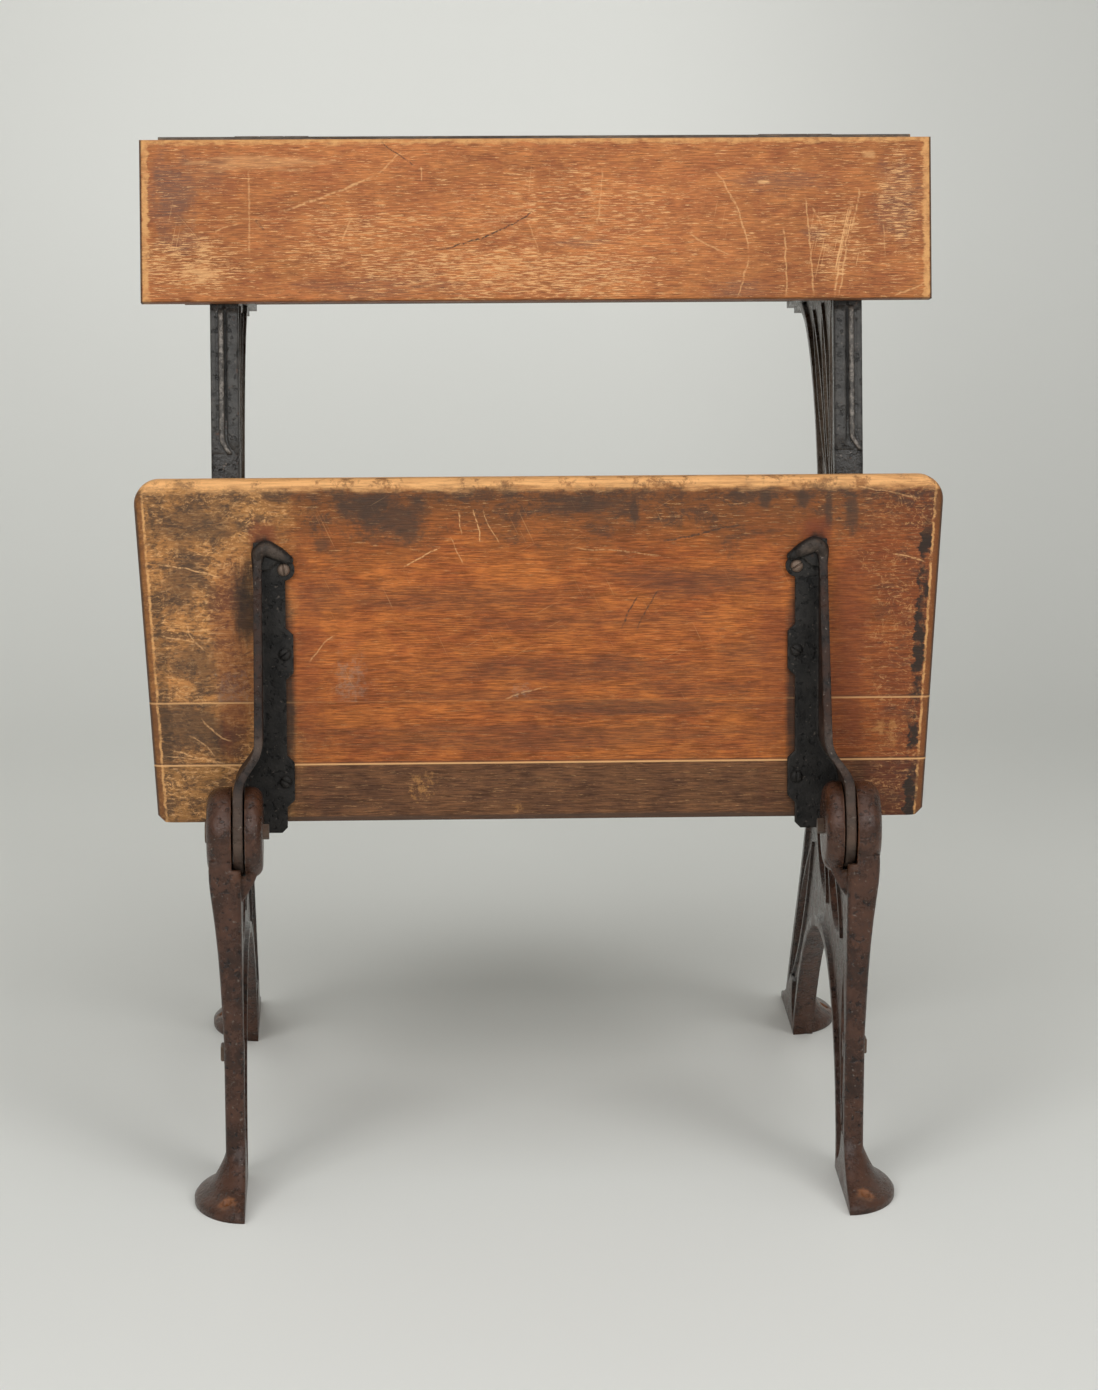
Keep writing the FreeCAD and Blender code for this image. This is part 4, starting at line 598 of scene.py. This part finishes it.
def seat_start(name, light, deep):
    """Seat varnish: plain in the middle, deeper round it, umber above, red to the right, and olive and
    blotched to the left."""
    finish = Finish(name, SEAT_LEAN, PIVOT)
    x, _, z = finish.parts(finish.place)
    drift = finish.minus(finish.noise(finish.place, 24.0, 5.0, 0.65), 0.5)
    left = finish.step(finish.plus(x, finish.times(drift, 0.16)), -0.165, -0.225)
    right = finish.step(finish.plus(x, finish.times(drift, 0.12)), 0.205, 0.270)
    top = finish.step(finish.plus(z, finish.times(drift, 0.09)), 0.186, 0.236)
    grain = plank(finish, light, deep, cover=0.22, contrast=0.24)
    finish.layer(SEAT_UMBER, top, 0.8)
    finish.layer(ARM_STAIN, right, 0.6)
    finish.layer(SEAT_OLIVE, left, 0.75)
    finish.tone(finish.span(grain["Fibre"], 0.86, 1.12))
    rim = finish.most(finish.step(x, 0.12, 0.24), finish.step(z, 0.16, 0.23), finish.step(z, 0.10, 0.055))
    finish.tone(finish.span(rim, 1.0, 0.85))
    zone = finish.most(finish.times(left, 0.9), finish.times(top, 0.8), finish.times(right, 0.4))
    mottle = finish.mottle(finish.times(zone, 0.42))
    finish.layer(GRIME, mottle["Blotch"], finish.span(zone, 0.22, 0.78))
    finish.layer(BARE_FIBRE, mottle["Speckle"], finish.most(left, finish.times(right, 0.3)), 0.62)
    finish.layer(GRIME, mottle["Grit"], finish.span(zone, 0.06, 0.7))
    finish.layer(GOLDEN_RUB, mottle["Craze"], finish.most(left, finish.times(right, 0.5)), 0.85)
    finish.layer(BARE_FIBRE, grain["Dash"], finish.span(zone, 0.30, 0.6))
    return finish, grain["Fibre"]


def arm_stains_and_shade(finish):
    """Red stain and old dirt on the underside of the seat beside the two arms, the same on either hand, with
    painted contact shade along each arm plate, and a painted shadow left of the left arm.
    """
    x, y, z = finish.parts(finish.place)
    underside = finish.step(y, 0.046, 0.041)
    mirrored = finish.joined(finish.size(x), y, z)
    finish.layer(ARM_STAIN, finish.patches(ARM_RED, mirrored), underside)
    # dirt, and painted contact shade along each arm plate, mirrored to both arms
    dirt_and_shade = finish.patches(ARM_DIRT_AND_SHADE, mirrored)
    # painted shadow left of the left arm; both are laid in soot colour
    shadowed = finish.patches(ARM_SHADOW)
    finish.layer(SOOT_AND_SHADE, finish.most(dirt_and_shade, shadowed), underside)


def seat_smears(finish, fibre):
    """Soft dark smears across the front board, dark drips below its front edge and pale chalky smudges."""
    finish.layer(SEAT_SMEAR, finish.patches(SEAT_SMEARS), finish.span(fibre, 0.80, 0.52))
    finish.layer(GRIME, finish.patches(SEAT_DRIPS))
    specks = finish.step(finish.noise(finish.place, 210.0, 5.0, 0.72), 0.36, 0.66)
    finish.layer(CHALK, finish.patches(SEAT_SMUDGES), specks, 0.7)


def seat_front_finish():
    """Wide front board of the seat with its smears, drips, scratches and golden front edge."""
    finish, fibre = seat_start("seat front varnish", SEAT_ORANGE, SEAT_RED)
    seat_smears(finish, fibre)
    arm_stains_and_shade(finish)
    faint = finish.times(finish.most(finish.hatch(30, 0.0), finish.hatch(-65, 0.0)), 0.25)
    finish.layer(BARE_FIBRE, finish.most(finish.scratches(SEAT_SCRATCHES), faint), 0.8)
    finish.layer(GRIME, finish.scratches(SEAT_DARK_SCRATCHES))
    return seat_edges(finish, fibre)


def seat_strip_finish(name, light, deep):
    """Narrow strips of the seat: a few pale marks and a dark lower edge."""
    finish, fibre = seat_start(name, light, deep)
    crumbs = finish.step(finish.noise(finish.place, 190.0, 5.0, 0.74), 0.44, 0.58)
    finish.layer(SEAT_OLIVE, finish.patches(STRIP_MARKS), crumbs)
    finish.layer(GRIME, finish.patches(STRIP_DIRT))
    arm_stains_and_shade(finish)
    finish.layer(BARE_FIBRE, finish.scratches(STRIP_SCRATCHES))
    return seat_edges(finish, fibre)


def seat_outline(finish, wander):
    """Colours that follow the seat's outline: golden nose, golden arris line inside a dark outer edge."""
    x, _, z = finish.parts(finish.place)
    half = finish.plus(SEAT_REAR_HALF - SEAT_TAPER * SEAT_LOW, finish.times(z, SEAT_TAPER))
    inward = finish.minus(half, finish.size(x))
    black = finish.band(finish.plus(inward, wander), 0.0078, 0.0145, 0.0016)
    right_hand = finish.span(finish.step(x, -0.1, 0.1), 0.40, 0.95)
    torn = finish.step(finish.noise(finish.place, 34.0, 5.0, 0.7), 0.40, 0.54)
    finish.layer(SOOT_AND_SHADE, black, torn, right_hand, finish.step(z, 0.235, 0.205))
    finish.layer(SEAT_UMBER, finish.step(inward, 0.0066, 0.0048), 0.7)
    broken = finish.step(finish.noise(finish.place, 110.0, 5.0, 0.7), 0.38, 0.58)
    line = finish.band(finish.plus(inward, finish.times(wander, 0.25)), 0.0060, 0.0069, 0.0008)
    finish.layer(GOLDEN_RUB, line, finish.span(broken, 0.08, 0.8))
    finish.layer(GRIME, finish.step(inward, 0.0028, 0.0012), 0.75, finish.step(z, 0.246, 0.226))
    under = finish.band(finish.plus(z, finish.times(wander, 0.8)), 0.2385, 0.2435, 0.0026)
    finish.layer(GRIME, under, finish.span(broken, 0.65, 0.1))
    nose = finish.step(finish.plus(z, finish.times(wander, 0.7)), 0.2418, 0.2500)
    spots = finish.step(finish.noise(finish.place, 60.0, 6.0, 0.72), 0.36, 0.47)
    streaks = finish.step(finish.grain_noise(finish.place, 30, 520, 5.0, 0.70), 0.34, 0.60)
    finish.layer(NOSE_GOLD, nose, finish.span(spots, 0.3, 1.0), finish.span(streaks, 0.55, 1.0))
    return nose


def seat_edges(finish, fibre):
    """Outline colours and glue lines, which close every seat finish."""
    x, _, z = finish.parts(finish.place)
    wander = ragged(finish, 0.016)
    nose = seat_outline(finish, wander)
    ends = finish.span(finish.step(finish.size(x), 0.17, 0.23), 0.07, 0.6)
    for joint, share in ((REAR_JOINT, 0.8), (MIDDLE_JOINT, ends)):
        above = finish.minus(z, joint)
        finish.layer(GRIME, finish.band(above, 0.0010, 0.0016, 0.0005), 0.7, share)
        finish.layer(BARE_FIBRE, finish.band(above, -0.0004, 0.0004, 0.0005), share)
    roughness = finish.plus(finish.span(fibre, 0.38, 0.52), finish.times(nose, 0.1))
    return finish.done(roughness, fibre, depth=0.0002, specular=0.2)


def lid_finish():
    """Writing surface: darkened varnish rubbed pale at the rear, with ink blots and pen scratches."""
    finish = Finish("lid varnish", BOX_TILT, BOARD_FOOT)
    x, y, _ = finish.parts(finish.place)
    plan = finish.joined(x, 0.0, y)
    grain = plank(finish, BOX_BROWN, BOX_DEEP, cover=0.3, fineness=0.9)
    fibre = grain["Fibre"]
    finish.layer(RAW_WOOD, grain["Dash"], 0.5)
    finish.layer(BOARD_ORANGE, finish.patches(LID_RUBBED, plan), finish.span(fibre, 0.5, 1.0))
    finish.layer(INK, finish.patches(LID_BLOTS, plan))
    edges = finish.step(finish.size(x), LID_HALF - 0.012, LID_HALF)
    back = finish.step(y, LID_REAR - 0.012, LID_REAR)
    finish.layer(GOLDEN_RUB, finish.most(edges, back), finish.step(fibre, 0.25, 0.75), 0.5)
    scored = finish.step(finish.noise(finish.stretch(plan, (30, 30, 420)), 1.0, 2.0), 0.66, 0.74)
    finish.layer(RAW_WOOD, scored, 0.4)
    height = finish.minus(finish.times(fibre, 0.5), scored)
    return finish.done(finish.span(fibre, 0.38, 0.52), height, depth=0.0004, specular=0.35)


def box_finish(name, light, deep, quarter):
    """Darkened varnish of the box sides, rail and battens, dirty and rubbed at the arrises."""
    finish = Finish(name, BOX_TILT, BOARD_FOOT, quarter)
    grain = plank(finish, light, deep, cover=0.35, fineness=0.9)
    finish.layer(RAW_WOOD, grain["Dash"], 0.45)
    finish.layer(GRIME, finish.mottle(0.3)["Blotch"], 0.55)
    arris = finish.use(ARRIS, {"Vector": finish.raw, "Radius": 0.003})["Mask"]
    finish.layer(GOLDEN_RUB, arris, 0.6)
    roughness = finish.span(grain["Fibre"], 0.44, 0.58)
    return finish.done(roughness, grain["Fibre"], depth=0.0003, specular=0.3)


# Iron finishes

def iron_start(name, low_paint, high_paint, rust, rub, chips=0.35):
    """Old paint on a pitted casting: one colour below, one above, rust freckles, chips and rubbed edges."""
    finish = Finish(name)
    _, _, z = finish.parts(finish.raw)
    skin = finish.use(CASTING, {"Vector": finish.raw, "Rust": rust})
    finish.colour = finish.blend(finish.step(z, 0.33, 0.45), low_paint, high_paint)
    finish.tone(finish.span(skin["Mottle"], 0.48, 1.45))
    finish.layer(RUST, skin["Freckle"], 0.8)
    arris = finish.use(ARRIS, {"Vector": finish.raw, "Radius": 0.0028})
    finish.rounded = arris["Rounded"]
    finish.layer(WORN_IRON, arris["Mask"], rub)
    finish.layer(WORN_IRON, skin["Chip"], chips)
    finish.tone(finish.span(skin["Pit"], 1.0, 0.35))
    return finish, skin


def iron_done(finish, skin, gloss, specular=0.40):
    """Paint duller on the rust, over the pitted casting; the gloss is its mean roughness."""
    sheen = finish.span(skin["Mottle"], gloss - 0.07, gloss + 0.09)
    roughness = finish.plus(sheen, finish.times(skin["Freckle"], 0.25))
    return finish.done(roughness, skin["Height"], depth=0.0020, specular=specular)


def standard_finish():
    """Standards: black posts, red-brown legs, rusty feet and a rusty hinge head and slot."""
    finish, skin = iron_start("standard paint", BROWN_PAINT, POST_PAINT, rust=0.42, rub=0.38, chips=0.75)
    finish.rounded = finish.use(ARRIS, {"Vector": finish.raw, "Radius": 0.008})["Rounded"]
    x, y, z = finish.parts(finish.raw)
    width = finish.size(x)
    low = finish.step(z, 0.050, 0.008)
    finish.layer(RUST, low, finish.span(skin["Freckle"], 0.2, 0.7))
    plan = finish.joined(width, 0.0, y)
    spots = [(place[0] / MM, place[1] / MM, 8.0, 8.0, 0.6, 0.8) for place in (FRONT_HOLE, REAR_HOLE)]
    finish.layer(FRESH_RUST, finish.patches(spots, plan), finish.step(z, 0.05, 0.02))
    side = finish.joined(y, 0.0, z)
    head = finish.patches([(PIVOT[0] / MM, PIVOT[1] / MM, 48, 48, 0.4, 0.8)], side)
    finish.layer(RUST, head, finish.span(skin["Freckle"], 0.25, 0.85))
    from_slot = finish.size(finish.minus(width, SLOT_MIDDLE))
    finish.layer(FRESH_RUST, finish.step(from_slot, 0.0062, 0.0045), head, 0.8)
    behind_post = finish.minus(y, finish.times(finish.minus(z, 0.55), 0.20))
    web = finish.times(finish.step(behind_post, -0.085, -0.078), finish.step(z, 0.47, 0.50))
    finish.layer(WEB_BROWN, web, finish.span(skin["Mottle"], 0.5, 0.95))
    rim = finish.step(finish.noise(finish.raw, 90.0, 5.0, 0.7), 0.52, 0.62)
    finish.layer(WORN_IRON, rim, web, 0.45)
    return iron_done(finish, skin, gloss=0.27)


def moulding_finish():
    """Post mouldings: black in the hollows as painted shade, and grey along the raised lines, partly rubbed
    paint and partly painted highlight.
    """
    finish, skin = iron_start("post moulding paint", POST_PAINT, POST_PAINT, rust=0.30, rub=0.3)
    crest = finish.add("Attribute", {}, attribute_name="crest").outputs["Fac"]
    # painted shade darkens the grooves and painted light brightens the bead, following the crest
    finish.tone(finish.span(finish.step(crest, 0.0, 0.5), 0.22, 1.25))
    patchy = finish.step(finish.noise(finish.raw, 230.0, 6.0, 0.76), 0.44, 0.62)
    # rubbed grey on the bead, partly a painted highlight
    finish.layer(BARE_IRON_AND_HIGHLIGHT, finish.step(crest, 0.55, 0.9), finish.span(patchy, 0.1, 0.66))
    return iron_done(finish, skin, gloss=0.38)


def in_front_of_plate(finish):
    """1 well in front of the seat arm's plate and 0 at it, measured square to the folded seat."""
    _, y, z = finish.parts(finish.raw)
    level = finish.times(finish.minus(y, PIVOT[0]), math.cos(SEAT_LEAN))
    upright = finish.times(finish.minus(z, PIVOT[1]), math.sin(SEAT_LEAN))
    return finish.step(finish.minus(level, upright), ARM_PLATE_FACE - 0.003, ARM_PLATE_FACE - 0.006)


def arm_finish():
    """Seat arms: thick black paint, brown where the rib is rubbed, and a rusty tongue."""
    finish, skin = iron_start("arm paint", BLACK_PAINT, BLACK_PAINT, rust=0.16, rub=0.26)
    x, y, z = finish.parts(finish.raw)
    width = finish.size(x)
    proud = finish.times(finish.step(width, 0.2010, 0.2035), in_front_of_plate(finish))
    finish.layer(BROWN_PAINT, proud, finish.span(skin["Mottle"], 0.05, 0.75))
    finish.layer(WORN_IRON, proud, skin["Chip"], 0.6)
    joggle = finish.patches([(0, 332, 400, 30, 0.3, 1.0)])
    finish.layer(WORN_IRON, proud, joggle, finish.span(skin["Mottle"], 0.0, 0.4))
    knob = finish.times(finish.step(z, 0.452, 0.470), in_front_of_plate(finish))
    finish.layer(STEEL_LIGHT, knob, finish.span(skin["Mottle"], 0.1, 0.5))
    side = finish.joined(y, 0.0, z)
    tongue = finish.patches([(PIVOT[0] / MM, PIVOT[1] / MM, 44, 44, 0.4, 0.9)], side)
    rusty = finish.times(tongue, finish.step(width, 0.2150, 0.2165))
    finish.layer(STEEL_LIGHT, rusty, 0.75)
    finish.layer(FRESH_RUST, rusty, skin["Freckle"], 0.7)
    return iron_done(finish, skin, gloss=0.50, specular=0.2)


def fastener_finish():
    """Browned steel of the bolts, nuts, hinges and screws."""
    finish = Finish("browned steel")
    skin = finish.use(CASTING, {"Vector": finish.raw, "Rust": 0.5})
    finish.colour = finish.blend(skin["Mottle"], STEEL_DARK, STEEL_LIGHT)
    finish.layer(RUST, skin["Freckle"], 0.8)
    arris = finish.use(ARRIS, {"Vector": finish.raw, "Radius": 0.001})["Mask"]
    finish.layer(WORN_IRON, arris, 0.5)
    finish.feed(finish.shader.inputs["Metallic"], finish.span(skin["Freckle"], 0.6, 0.1))
    roughness = finish.span(skin["Mottle"], 0.42, 0.60)
    return finish.done(roughness, skin["Height"], depth=0.0004, specular=0.5)


# Surfaces worked out with numpy

def placed(name, data):
    """Object in the scene for a mesh, a lamp or a camera."""
    thing = bpy.data.objects.new(name, data)
    bpy.context.scene.collection.objects.link(thing)
    return thing


def surface(name, points, faces, material):
    """Smooth mesh object from an array of points and an array of quads."""
    mesh = bpy.data.meshes.new(name)
    mesh.from_pydata(points.tolist(), [], faces.tolist())
    mesh.polygons.foreach_set("use_smooth", np.ones(len(faces), bool))
    mesh.materials.append(material)
    mesh.update()
    return placed(name, mesh)


def piece(name, points, faces, body, material):
    """Surface that rides on a body."""
    thing = surface(name, points, faces, material)
    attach(thing, body)
    return thing


def grid_faces(rows, columns, start=0):
    """Quads of a grid of points stored row by row."""
    index = np.arange(rows * columns).reshape(rows, columns) + start
    corners = [index[:-1, :-1], index[:-1, 1:], index[1:, 1:], index[1:, :-1]]
    return np.stack(corners, -1).reshape(-1, 4)


def closed_slab(front, back):
    """Closed skin between a front and a back grid of one shape: both sheets and a wall round their border."""
    rows, columns = front.shape[:2]
    count = rows * columns
    points = np.concatenate([front.reshape(-1, 3), back.reshape(-1, 3)])
    index = np.arange(count).reshape(rows, columns)
    border = np.concatenate([index[0, :-1], index[:-1, -1], index[-1, :0:-1], index[:0:-1, 0]])
    following = np.roll(border, -1)
    wall = np.stack([border, border + count, following + count, following], -1)
    faces = np.concatenate([grid_faces(rows, columns), grid_faces(rows, columns, count)[:, ::-1], wall])
    return points, faces


def post_front_line(heights):
    """Station of the post's front face at each height, found by casting a ray from the sitter's side."""
    casting = nodes["standard_right"]
    probe = INNER_FACE + POST_WIDTH - 0.002
    ahead = Vector((0.0, 1.0, 0.0))
    return np.array([casting.ray_cast(Vector((probe, -1.0, height)), ahead)[1].y for height in heights])


def held(value):
    """Value held between 0 and 1."""
    return np.clip(value, 0, 1)


def moulding_relief(side, share, height, rise):
    """Relief of a post's front and its crest. Over the share of the width the relief is a sum of bumps (a
    flat panel, a groove, a round bead, a second groove and a flat strip), faded to nothing at both ends; near
    its foot the bead bends to the right. The crest is 1 on the bead, a half on the flats and 0 in the
    grooves."""
    bend = BEAD_BEND_RIGHT if side > 0 else BEAD_BEND_LEFT
    from_bead = share - BEAD_MIDDLE - bend * held((BEAD_BENDS_BELOW - height) / BEAD_BEND_LENGTH) ** 1.6
    bead = held(1 - (from_bead / BEAD_HALF) ** 2) ** 0.5
    groove = np.exp(-((np.abs(from_bead) - GROOVE_FROM_BEAD) / GROOVE_HALF) ** 2)
    panel = held(1 - ((share - PANEL_MIDDLE) / PANEL_HALF) ** 8) * held((height - PANEL_FOOT) / 0.006)
    fade = held(rise / 0.03) * held((1 - rise) / 0.04)
    fade = fade * fade * (3 - 2 * fade)
    raised = MOULDING_RISE + PANEL_RISE * panel + BEAD_RISE * bead - GROOVE_DEPTH * groove
    relief = raised * fade - ENDS_SUNK * (1 - fade)
    return relief, held(0.5 + 0.5 * bead * fade - 0.5 * groove * fade)


def post_moulding(side, material):
    """Moulded front of a post: a grid across the post's width and up its height, raised by the relief from
    the casting's front line and backed inside the casting. Its attribute crest tells bead from groove."""
    width = np.linspace(MOULDING_MARGIN, POST_WIDTH - MOULDING_MARGIN, 64)[None, :]
    rise = np.linspace(0.0, 1.0, 90)[:, None]
    height = MOULDING_FOOT + rise * (MOULDING_TOP - MOULDING_FOOT) + 0 * width
    relief, crest = moulding_relief(side, width / POST_WIDTH, height, rise)
    levels = np.linspace(MOULDING_FOOT - 0.012, MOULDING_TOP + 0.0065, 60)
    station = np.interp(height, levels, post_front_line(levels))
    across = np.broadcast_to(INNER_FACE + width, height.shape)
    front = np.stack([across, station - relief, height], -1)
    back = np.stack([across, station + MOULDING_SUNK, height], -1)
    points, faces = closed_slab(front, back)
    mirrored = points * np.array([side, 1.0, 1.0])
    outward = faces if side > 0 else faces[:, ::-1]
    name = "post_moulding_right" if side > 0 else "post_moulding_left"
    thing = piece(name, mirrored, outward, "frame", material)
    layer = thing.data.attributes.new("crest", "FLOAT", "POINT")
    both = np.concatenate([crest.ravel(), np.zeros(crest.size)])
    layer.data.foreach_set("value", both.astype(np.float32))


def seat_place(x, depth, rise):
    """Seat coordinates to the shared frame: depth square to the seat from the pivot, rise along the seat."""
    y = PIVOT[0] + depth * math.cos(SEAT_LEAN) + rise * math.sin(SEAT_LEAN)
    z = PIVOT[1] - depth * math.sin(SEAT_LEAN) + rise * math.cos(SEAT_LEAN)
    return np.stack([x, y, z], -1)


def slotted_head(x, rise, turn):
    """Screw head on the seat arm: a square grid pressed into a disc (u, v keep their lines across it), domed
    as the square root of one minus r squared, with a slot cut where v is near nought."""
    u = np.linspace(-1, 1, 25)[None, :]
    v = np.concatenate([np.linspace(-1, -0.16, 9), [-0.13, 0.13], np.linspace(0.16, 1, 9)])[:, None]
    disc_x = u * np.sqrt(1 - v * v / 2)
    disc_z = v * np.sqrt(1 - u * u / 2)
    dome = HEAD_RIM + HEAD_DOME * np.sqrt(held(1.02 - disc_x ** 2 - disc_z ** 2))
    dome = dome - SLOT_DEPTH * (np.abs(v) < SLOT_HALF)
    across = x + HEAD_RADIUS * (disc_x * math.cos(turn) - disc_z * math.sin(turn))
    up = rise + HEAD_RADIUS * (disc_x * math.sin(turn) + disc_z * math.cos(turn))
    front = seat_place(across, ARM_PLATE_FACE - dome, up)
    back = seat_place(across, ARM_PLATE_FACE + SUNK_IN_PLATE + 0 * dome, up)
    return closed_slab(front, back)


def smoothed(row):
    """Row of values averaged along a short bell, its ends held."""
    bell = np.hanning(11)
    return np.convolve(np.pad(row, 5, "reflect", reflect_type="odd"), bell / bell.sum(), "valid")


def arm_knob(side, material):
    """Hooked knob at the tip of a seat arm: a spine bends over from the rib to the top screw, and across it
    the relief is a swell times the square root of one minus w squared; the swell and the half width grow from
    the rib to the crown and fall off along the beak."""
    knots = np.linspace(0, 1, len(KNOB_SPINE_X))
    share = np.linspace(0, 1, 48)
    spine_x = smoothed(np.interp(share, knots, KNOB_SPINE_X))
    spine_z = smoothed(np.interp(share, knots, KNOB_SPINE_RISE))
    half = np.interp(share, knots, KNOB_HALF)[:, None]
    swell = np.interp(share, knots, KNOB_SWELL)[:, None]
    run_x = np.gradient(spine_x)
    run_z = np.gradient(spine_z)
    length = np.hypot(run_x, run_z)
    w = np.sin(np.linspace(-math.pi / 2, math.pi / 2, 25))[None, :]
    across = side * (spine_x[:, None] + half * w * (run_z / length)[:, None])
    up = spine_z[:, None] - half * w * (run_x / length)[:, None]
    relief = swell * np.sqrt(held(1 - w * w))
    front = seat_place(across, ARM_PLATE_FACE - relief, up)
    back = seat_place(across, ARM_PLATE_FACE + SUNK_IN_PLATE + 0 * relief, up)
    points, faces = closed_slab(front, back)
    outward = faces if side > 0 else faces[:, ::-1]
    name = "seat_arm_knob_right" if side > 0 else "seat_arm_knob_left"
    piece(name, points, outward, "seat", material)


def seat_screw_heads(steel, paint):
    """All six slotted heads in one mesh, which stand for the seat's screws; the topmost are bare steel."""
    points, faces, painted = [], [], []
    count = 0
    for side in (1, -1):
        for index, station in enumerate(LUG_STATIONS):
            head_points, head_faces = slotted_head(side * LUG_X, station, 0.5 + 1.1 * index + side)
            points.append(head_points)
            faces.append(head_faces + count)
            painted.append(np.full(len(head_faces), station < LUG_STATIONS[-1]))
            count += len(head_points)
    all_points = np.concatenate(points)
    all_faces = np.concatenate(faces)
    heads = piece("seat_screw_heads", all_points, all_faces, "seat", steel)
    heads.data.materials.append(paint)
    heads.data.polygons.foreach_set("material_index", np.concatenate(painted).astype(np.int32))
    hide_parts("seat_screws")


# Stage

def backdrop_paper():
    """Grey paper with painted shade: darker near the camera and towards the right. It glows behind the desk,
    but lights nothing. Its back is clear, so that the desk can be looked at from behind."""
    finish = Finish("backdrop paper")
    x, y, z = finish.parts(finish.raw)
    # painted shade: the paper is darker near the camera than far from it
    finish.colour = finish.blend(finish.step(y, -0.6, 0.5), PAPER_NEAR_SHADED, PAPER_FAR)
    # painted shade: the paper is darker towards the right, behind the desk
    shade_to_right = finish.times(finish.step(x, 0.15, 0.65), finish.step(y, 0.3, 1.3))
    finish.tone(finish.span(shade_to_right, 1.0, 0.88))
    finish.feed(finish.shader.inputs["Base Color"], finish.colour)
    finish.shader.inputs["Roughness"].default_value = 0.8
    finish.shader.inputs["Specular IOR Level"].default_value = 0.1
    finish.shader.inputs["Emission Color"].default_value = PAPER_GLOW
    ray = finish.add("LightPath", {}).outputs
    seen = finish.most(ray["Is Camera Ray"], ray["Is Glossy Ray"], ray["Is Transmission Ray"])
    side = finish.span(finish.step(finish.size(x), 0.15, 1.0), 1.0, 0.2)
    glow = finish.times(seen, finish.step(z, 0.0, 0.55), side, 0.13)
    finish.feed(finish.shader.inputs["Emission Strength"], glow)
    from_behind = finish.add("NewGeometry", {}).outputs["Backfacing"]
    clear = finish.add("BsdfTransparent", {}).outputs[0]
    one_sided = finish.add("MixShader", {0: from_behind, 1: finish.shader.outputs[0], 2: clear}).outputs[0]
    ending = finish.tree.nodes["Material Output"]
    finish.feed(ending.inputs["Surface"], one_sided)
    return finish.material


def backdrop():
    """Floor that sweeps up into a wall: a quarter circle between a level run and an upright run, along X."""
    turn = np.linspace(0, math.pi / 2, 40)
    curve_y = FLOOR_REAR + SWEEP_RADIUS * np.sin(turn)
    curve_z = SWEEP_RADIUS - SWEEP_RADIUS * np.cos(turn)
    profile_y = np.concatenate([[FLOOR_FRONT], curve_y, [FLOOR_REAR + SWEEP_RADIUS]])
    profile_z = np.concatenate([[0.0], curve_z, [WALL_TOP]])
    shape = (2, len(profile_y))
    x = np.array([-BACKDROP_HALF, BACKDROP_HALF])[:, None]
    rows = [np.broadcast_to(row, shape) for row in (x, profile_y, profile_z)]
    points = np.stack(rows, -1).reshape(-1, 3)
    thing = surface("backdrop", points, grid_faces(*shape)[:, ::-1], backdrop_paper())


def lamp(name, place, target, size, watts):
    """Soft box at a place, turned to a target."""
    light = bpy.data.lights.new(name, "AREA")
    light.shape = "RECTANGLE"
    light.size, light.size_y = size
    light.energy = watts
    thing = placed(name, light)
    thing.location = place
    thing.rotation_euler = (Vector(target) - Vector(place)).to_track_quat("-Z", "Y").to_euler()


def studio():
    """Two soft boxes at the front corners, one above the camera, one overhead, and an even white world."""
    for settings in LAMPS:
        lamp(*settings)
    world = bpy.data.worlds.new("studio")
    world.use_nodes = True
    background = world.node_tree.nodes["Background"]
    background.inputs["Color"].default_value = (1.0, 1.0, 1.0, 1)
    background.inputs["Strength"].default_value = WORLD_STRENGTH
    bpy.context.scene.world = world


def camera():
    """Camera of the photograph: a long lens, a little above the desk and a little to its left."""
    data = bpy.data.cameras.new("camera")
    data.lens = LENS
    data.sensor_width = SENSOR
    thing = placed("camera", data)
    thing.location = CAMERA_PLACE
    thing.rotation_euler = (math.radians(90 - CAMERA_DIP), 0.0, math.radians(CAMERA_TURN))
    bpy.context.scene.camera = thing


# Dressing

FASTENERS = [
    "pivot_bolts", "pivot_nuts", "leg_bolts", "front_board_screws", "arm_screws", "box_screws",
    "batten_screws", "seat_screws", "hinge_pins", "hinge_rail_screws", "hinge_lid_screws",
    "hinge_rail_leaf_left", "hinge_rail_leaf_right", "hinge_lid_leaf_left", "hinge_lid_leaf_right"]


def dress(names, material):
    """Give a material to some of the CAD nodes."""
    for name in names:
        data = nodes[name].data
        data.materials.clear()
        data.materials.append(material)


def main():
    """Dress the nodes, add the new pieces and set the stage."""
    iron = standard_finish()
    arms = arm_finish()
    steel = fastener_finish()
    dress(["standard_left", "standard_right"], iron)
    dress(["seat_arm_left", "seat_arm_right"], arms)
    dress(FASTENERS, steel)
    dress(["front_board"], front_board_finish())
    dress(["seat_board_front"], seat_front_finish())
    dress(["seat_board_middle"], seat_strip_finish("seat middle varnish", SEAT_ORANGE, SEAT_RED))
    dress(["seat_board_rear"], seat_strip_finish("seat rear varnish", STRIP_LIGHT, STRIP_DEEP))
    dress(["lid_board_front", "lid_board_middle", "lid_board_rear"], lid_finish())
    dress(["hinge_rail"], box_finish("rail varnish", RAIL_GREY, RAIL_DEEP, False))
    dress(["box_rear_board", "box_bottom"], box_finish("box varnish", BOX_BROWN, BOX_DEEP, False))
    dress(["box_end_left", "box_end_right"], box_finish("box end varnish", BOX_BROWN, BOX_DEEP, True))
    dress(["lid_batten_left", "lid_batten_right"], box_finish("batten wood", RAW_WOOD, BOX_BROWN, True))
    moulding = moulding_finish()
    for side in (-1, 1):
        post_moulding(side, moulding)
        arm_knob(side, arms)
    seat_screw_heads(steel, arms)
    backdrop()
    studio()
    camera()
    bpy.context.scene.view_settings.view_transform = "Standard"


main()
